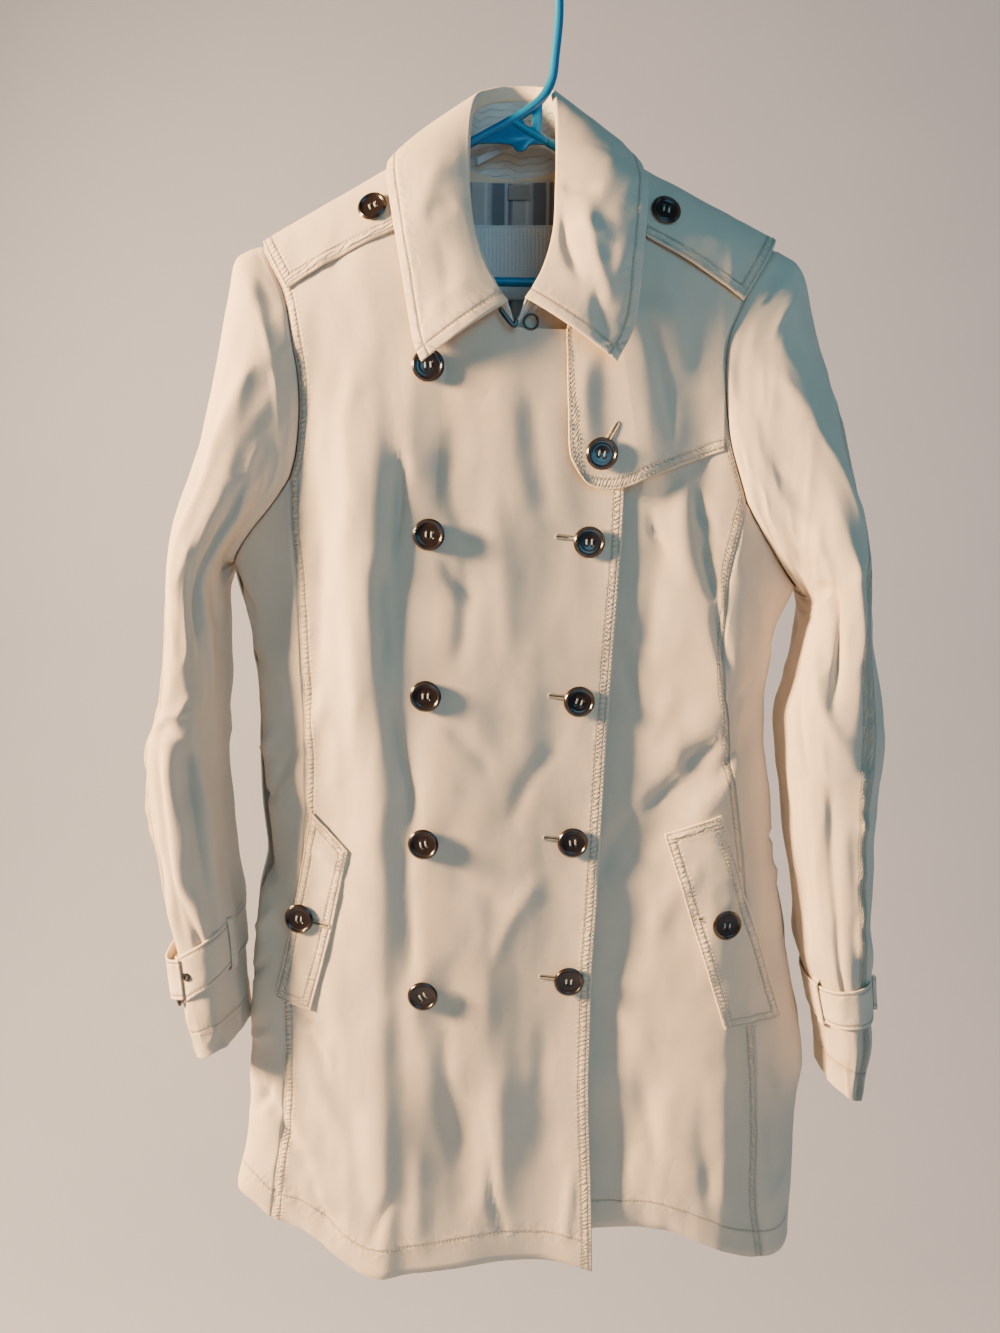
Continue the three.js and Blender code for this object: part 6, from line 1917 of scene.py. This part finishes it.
cuff_rows = build_cuff("left", CUFFS["left"], 561) + build_cuff("right", CUFFS["right"], 571)
stitch_piece("stitches_cuffs", cuff_rows)

# %% [markdown]
# ## Wire, frames and tube
# Everything bent from round stock - the buckles' frames, the eyelet, the hook and its eye, the
# hanger - is a circle of points carried along a line. A curve object with a bevel would do the same,
# but a flat bar needs two radii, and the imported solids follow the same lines.

# %% A tube along a line
def tube_mesh(name, line, across, radii, material, node=None, closed=False, sides=20):
    """A tube round a line: line + across * r1 * cos(t) + (direction x across) * r2 * sin(t).

    An open tube closes to a round cap at both ends.
    """
    line = np.asarray(line, float)
    if closed:
        ahead = unit(np.roll(line, -1, axis=0) - np.roll(line, 1, axis=0))
    else:
        ahead = unit(np.gradient(line, axis=0))
    across = np.broadcast_to(np.asarray(across, float), line.shape)
    across = unit(across - ahead * np.sum(across * ahead, axis=-1, keepdims=True))
    other = np.cross(ahead, across)
    turn = 2 * np.pi * np.arange(sides) / sides
    first, second = radii
    scale = np.ones(len(line))
    if not closed:
        run = line_lengths(line)
        from_end = np.minimum(run, run[-1] - run)
        scale = np.sqrt(np.clip(1 - (1 - np.clip(from_end / max(radii), 0, 1)) ** 2, 0.0004, 1))
    cos, sin = first * np.cos(turn)[:, None], second * np.sin(turn)[:, None]
    ring = across[:, None] * cos + other[:, None] * sin
    grid = line[:, None] + ring * scale[:, None, None]
    face = quads(len(line), sides, True)
    if closed:
        last = (len(line) - 1) * sides
        k = np.arange(sides)
        face = np.concatenate([face, np.stack([last + k, last + (k + 1) % sides, (k + 1) % sides, k], -1)])
    obj = mesh_object(name, [grid.reshape(-1, 3)], [face[:, ::-1]])
    return finished(obj, material, node)


def with_round_ends(line, radius):
    """The same line with a few more points close to both ends, for their round caps."""
    run = line_lengths(line)
    extra = radius * np.array([0, 0.02, 0.08, 0.2, 0.4, 0.7, 1])
    between = run[(run > radius) & (run < run[-1] - radius)]
    return read_line(line, run, np.unique(np.concatenate([between, extra, run[-1] - extra])))


# %% Buckles
BUCKLE_HALF, BUCKLE_OVER_STRAP, BUCKLE_BAR, BUCKLE_CORNER = 9, 4, 3, 3.2
BUCKLE_RADII, PIN_RADII = (1.5, 1.86), (0.8, 0.9)
WIRE_RADIUS, EYE_RADIUS, HOOK_RADII = 0.9, 5.4, (0.7, 1.9)
EYELET_MIDDLE, EYELET_HOLE = 2.7, 0.75
HOOK_PATH = [(-22, -58, -276), (-17, -58.5, -283), (-11, -58.5, -289), (-9, -57.5, -284)]
EYE_PLACE = (2, -51, -285)


def rounded_frame(half_width, half_height, corner, parts=9):
    """The middle line of a frame with rounded corners, as u and v."""
    turn = np.linspace(0, np.pi / 2, parts)
    arc = np.stack([np.cos(turn), np.sin(turn)], axis=-1) * corner
    places = []
    for k, (su, sv) in enumerate(((1, 1), (-1, 1), (-1, -1), (1, -1))):
        cos, sin = math.cos(k * math.pi / 2), math.sin(k * math.pi / 2)
        rotated = arc @ np.array([[cos, sin], [-sin, cos]])
        places.append(rotated + [su * (half_width - corner), sv * (half_height - corner)])
    return np.concatenate(places)


def build_buckle(side, cuff):
    angle = np.radians(float(cuff["buckle"]))
    point, out, down = sleeve_frame(cuff["sizes"], np.array(angle), strap_middle(cuff, angle))
    across = unit(np.cross(down, out))
    centre = point + out * (CUFF_LIFT["buckle"] + 1.3)
    half_width = STRAP_HALF + BUCKLE_OVER_STRAP - BUCKLE_BAR / 2
    half_height = BUCKLE_HALF - BUCKLE_BAR / 2
    frame_line = rounded_frame(half_width, half_height, BUCKLE_CORNER)
    line = centre + down * frame_line[:, :1] + across * frame_line[:, 1:]
    tube_mesh(f"cuff_buckle_{side}", line, out, BUCKLE_RADII, METAL, f"cuff_buckle_{side}", closed=True)
    bar = centre + down * np.linspace(-half_width, half_width, 12)[:, None] - out * 0.3
    tube_mesh(f"cuff_buckle_bar_{side}", bar, out, PIN_RADII, METAL)


for side, cuff in CUFFS.items():
    build_buckle(side, cuff)

# %% Eyelet, hook and eye
FACING = (0, 1, 0)
eyelet_angle = np.array(np.radians(float(EYELET_ANGLE)))
eyelet_at, eyelet_out, eyelet_down = sleeve_frame(SLEEVE_LEFT, eyelet_angle,
                                                  strap_middle(CUFFS["left"], eyelet_angle))
eyelet_across = np.cross(eyelet_down, eyelet_out)
turn = (2 * np.pi * np.arange(40) / 40)[:, None]
circle = eyelet_down * np.cos(turn) + eyelet_across * np.sin(turn)
eyelet_line = eyelet_at + eyelet_out * (CUFF_LIFT["strap"] + 0.55) + circle * EYELET_MIDDLE
tube_mesh("cuff_eyelet", eyelet_line, eyelet_out, (0.6, 1.3), METAL, "cuff_eyelet_left", closed=True)
# A dark disc over the eyelet's hole: painted shade of the opening.
hole_line = eyelet_at + eyelet_out * (CUFF_LIFT["strap"] + 0.2) + circle * EYELET_HOLE
tube_mesh("cuff_eyelet_hole", hole_line, eyelet_out, (0.1, EYELET_HOLE), OPENING_SHADE, closed=True)

hook_line = with_round_ends(along(HOOK_PATH, steps(40)), max(HOOK_RADII))
tube_mesh("collar_hook", hook_line, FACING, HOOK_RADII, METAL, "collar_hook")
eye_line = np.array(EYE_PLACE) + EYE_RADIUS * np.concatenate([np.cos(turn), 0 * turn, np.sin(turn)], axis=1)
tube_mesh("collar_eye", eye_line, FACING, (WIRE_RADIUS, WIRE_RADIUS), METAL, "collar_eye", closed=True)

# %% [markdown]
# ## The hanger and the hanging loop
# The hanger is one plastic tube: hook, stem, an arm down to the left, the bar back to the right and up
# to the stem again. A flat gusset and a rib stiffen the joint. It is moulded, so the plate's edges are
# rounded over. Behind it, inside the neck, the coat's own loop hangs unused.

# %% Hanger
HOOK_RADIUS, HANGER_RADIUS, PLATE_HALF = 25, 3.6, 1.5
HANGER_PATH = [
    (24, -50), (21.5, -75), (19, -93), (12, -106), (0, -116), (-18, -126), (-60, -147.5), (-120, -178.5),
    (-190, -214.5), (-203, -223), (-206, -233), (-196, -241), (-150, -243), (0, -245), (140, -247),
    (184, -247), (195, -240), (192, -229), (180, -220), (120, -190.5), (50, -156), (14, -138),
]
JOINT_RADIUS = 3.5
HANGER_JOINT = [(17, -139.5), (4, -133), (-12, -123.5)]
GUSSET = [(-46, -140.5), (-14, -141), (-8, -146), (-3, -146), (3, -141), (20, -141), (2, -128), (-8, -122)]
RIB = [(3, -134), (11, -138), (12, -106), (4, -112)]


def in_plane(points):
    points = np.asarray(points, float)
    return np.stack([points[:, 0], np.zeros(len(points)), points[:, 1]], axis=-1)


def plate_mesh(name, outline, material):
    """A flat plate in the hanger's plane whose edges are rounded over."""
    outline = np.asarray(outline, float)
    centre = outline.mean(axis=0)
    parts = []
    for y, inset in ((-PLATE_HALF, 0.7), (-PLATE_HALF + 0.2, 0.25), (-PLATE_HALF + 0.7, 0),
                     (PLATE_HALF - 0.7, 0), (PLATE_HALF - 0.2, 0.25), (PLATE_HALF, 0.7)):
        line = outline + unit(centre - outline) * inset
        parts.append(np.stack([line[:, 0], np.full(len(line), y), line[:, 1]], axis=-1))
    count = len(outline)
    side = quads(len(parts), count, True)
    ends = [np.arange(count)[None], (np.arange(count) + (len(parts) - 1) * count)[None, ::-1]]
    obj = mesh_object(name, parts, [side[:, ::-1], *ends])
    return finished(obj, material, None)


# %% Bend the hanger and press its plates
hook_angles = np.radians(np.arange(205, -20, -5.0))
hook_middle = HANGER_RADIUS - HOOK_RADIUS
hook_arc = np.stack([HOOK_RADIUS * np.cos(hook_angles), hook_middle + HOOK_RADIUS * np.sin(hook_angles)], -1)
arms = along(np.concatenate([hook_arc[-1:], HANGER_PATH]), steps(420))
for name, line, radius, node, sides in (
    ("hanger", chain(hook_arc, arms), HANGER_RADIUS, "hanger", 28),
    ("hanger_joint", along(HANGER_JOINT, steps(12)), JOINT_RADIUS, None, 24),
):
    line = with_round_ends(in_plane(line), radius)
    tube_mesh(name, line, FACING, (radius, radius), HANGER_PLASTIC, node, sides=sides)
plate_mesh("hanger_gusset", along(GUSSET + GUSSET[:1], steps(90)[:-1]), HANGER_PLASTIC)
plate_mesh("hanger_rib", RIB, HANGER_PLASTIC)

# %% Hanging loop
LOOP_ARCH = [(-40, -152), (-28, -146), (-12, -139), (6, -137), (18, -141), (26, -147)]
LOOP_WIDTH, LOOP_BEHIND = 5, 13

loop_x, loop_z = along(LOOP_ARCH, steps(60)).T[:, None]
loop_up = np.linspace(0, LOOP_WIDTH, 9)[:, None]
twist = 0.9 * unevenness(loop_x / 16, loop_x * 0, 601)
loop_y = LOOP_BEHIND + twist * (loop_up / LOOP_WIDTH - 0.5)
loop_grid = np.stack([loop_x + 0 * loop_up, loop_y, loop_z + loop_up], axis=-1)
unsewn = np.full(loop_grid.shape, FAR) * [1, 1, 0]
cloth_piece("cloth_hanging_loop", loop_grid, [0, -1.0, 0], unsewn, LABEL, thickness=1.2)

# %% [markdown]
# ## What each piece was cut from
# Every cloth piece was flat once. Its cut is read back from its surface: its longest line each way, and
# its area. A tube counts all round. A sleeve's width is read below its head, because the rings of the
# head slant down into the armhole. The cuts of the pieces listed below are printed; the hanging loop
# is too narrow to count alone and is left out.

HANGS_FROM = {
    "cloth_front_left_lap": ["hanger", "cloth_front_right_under"],
    "cloth_front_right_under": ["hanger"],
    "cloth_back": ["hanger"],
    "cloth_side_front_left": ["cloth_front_left_lap", "cloth_back"],
    "cloth_side_front_right": ["cloth_front_right_under", "cloth_back"],
    "cloth_sleeve_left": ["hanger", "cloth_back"],
    "cloth_sleeve_right": ["hanger", "cloth_back"],
    "cloth_storm_flap": ["cloth_front_left_lap", "cloth_front_right_under"],
    "cloth_shoulder_strap_left": ["cloth_front_left_lap"],
    "cloth_shoulder_strap_right": ["cloth_storm_flap"],
    "cloth_pocket_welt_left": ["cloth_front_left_lap"],
    "cloth_pocket_welt_right": ["cloth_front_right_under"],
    "cloth_collar_fall": ["cloth_collar_stand"],
    "cloth_collar_stand": ["cloth_back"],
    "cloth_back_lining": ["cloth_back"],
    "cloth_neck_label": ["cloth_back_lining"],
    "cloth_size_tab": ["cloth_back_lining"],
    "cloth_cuff_strap_left": ["cloth_sleeve_left"],
    "cloth_cuff_strap_right": ["cloth_sleeve_right"],
    "cloth_cuff_keeper_left": ["cloth_cuff_strap_left"],
    "cloth_cuff_keeper_right": ["cloth_cuff_strap_right"],
    "cloth_cuff_strap_end_left": ["cloth_cuff_strap_left"],
    "cloth_cuff_strap_end_right": ["cloth_cuff_strap_right"],
}
for name, (obj, cut) in sheets.items():
    if name in HANGS_FROM:
        declare_cut(obj, cut)

# %% [markdown]
# ## Stage and light
# The coat hangs in front of a pale sweep: a floor that curves up into a wall, so that no edge shows
# behind it. A warm lamp two metres to the left grazes the cloth and draws each crease. A cool, broad
# one behind the camera fills the shade, and a weak one on the right keeps that side from going flat.

# %% Sweep
SWEEP_FLOOR, SWEEP_WALL, SWEEP_CORNER = -1600, 1500, 900
SWEEP_TOP, SWEEP_NEAR, SWEEP_HALF = 2600, -5000, 6000

bend = np.linspace(-np.pi / 2, 0, 24)
sweep_line = np.concatenate([
    [(SWEEP_NEAR, SWEEP_FLOOR)],
    np.stack([SWEEP_WALL - SWEEP_CORNER + SWEEP_CORNER * np.cos(bend),
              SWEEP_FLOOR + SWEEP_CORNER + SWEEP_CORNER * np.sin(bend)], axis=-1),
    [(SWEEP_WALL, SWEEP_TOP)],
])
sweep_points = [np.stack([np.full(len(sweep_line), x), sweep_line[:, 0], sweep_line[:, 1]], axis=-1)
                for x in (-SWEEP_HALF, SWEEP_HALF)]
sweep = mesh_object("sweep", sweep_points, [quads(2, len(sweep_line), False)])
sweep.data.shade_smooth()
sweep.data.materials.append(plain_paint("pale paper", (0.36, 0.41, 0.55), (0.43, 0.48, 0.62), 0.8, 0.6))


# %% Lamps and sky
def softbox(name, place, aim, size, power, colour, spread=180):
    """A rectangular lamp at a place, turned towards its aim; in metres, watts and degrees."""
    lamp = bpy.data.lights.new(name, "AREA")
    lamp.shape, lamp.energy, lamp.color = "RECTANGLE", power, colour
    lamp.spread = np.radians(spread)
    lamp.size, lamp.size_y = size
    obj = bpy.data.objects.new(name, lamp)
    obj.location = place
    direction = mathutils.Vector(aim) - mathutils.Vector(place)
    obj.rotation_euler = direction.to_track_quat("-Z", "Y").to_euler()
    bpy.context.collection.objects.link(obj)


softbox("key", (-2.2, -0.50, 0.15), (0.0, 0.0, -0.55), (0.35, 0.6), 225, (1.0, 0.63, 0.31), 130)
softbox("fill", (0.7, -2.3, 0.4), (0.0, 0.0, -0.5), (1.6, 1.4), 25, (0.24, 0.70, 1.0))
softbox("edge", (2.0, -0.5, 0.1), (0.1, 0.0, -0.5), (0.8, 1.4), 3, (0.60, 0.86, 1.0))
world = bpy.data.worlds.new("studio")
world.use_nodes = True
sky = world.node_tree.nodes["Background"].inputs
sky["Color"].default_value = (0.60, 0.80, 0.95, 1)
sky["Strength"].default_value = 0.08
bpy.context.scene.world = world

# %% Measure and finish
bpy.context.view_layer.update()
triangles = {o.name: sum(len(p.vertices) - 2 for p in o.data.polygons)
             for o in bpy.data.objects if o.type == "MESH" and o.name in bpy.context.scene.objects}
print("triangles in all:", sum(triangles.values()), "largest:", max(triangles, key=triangles.get))
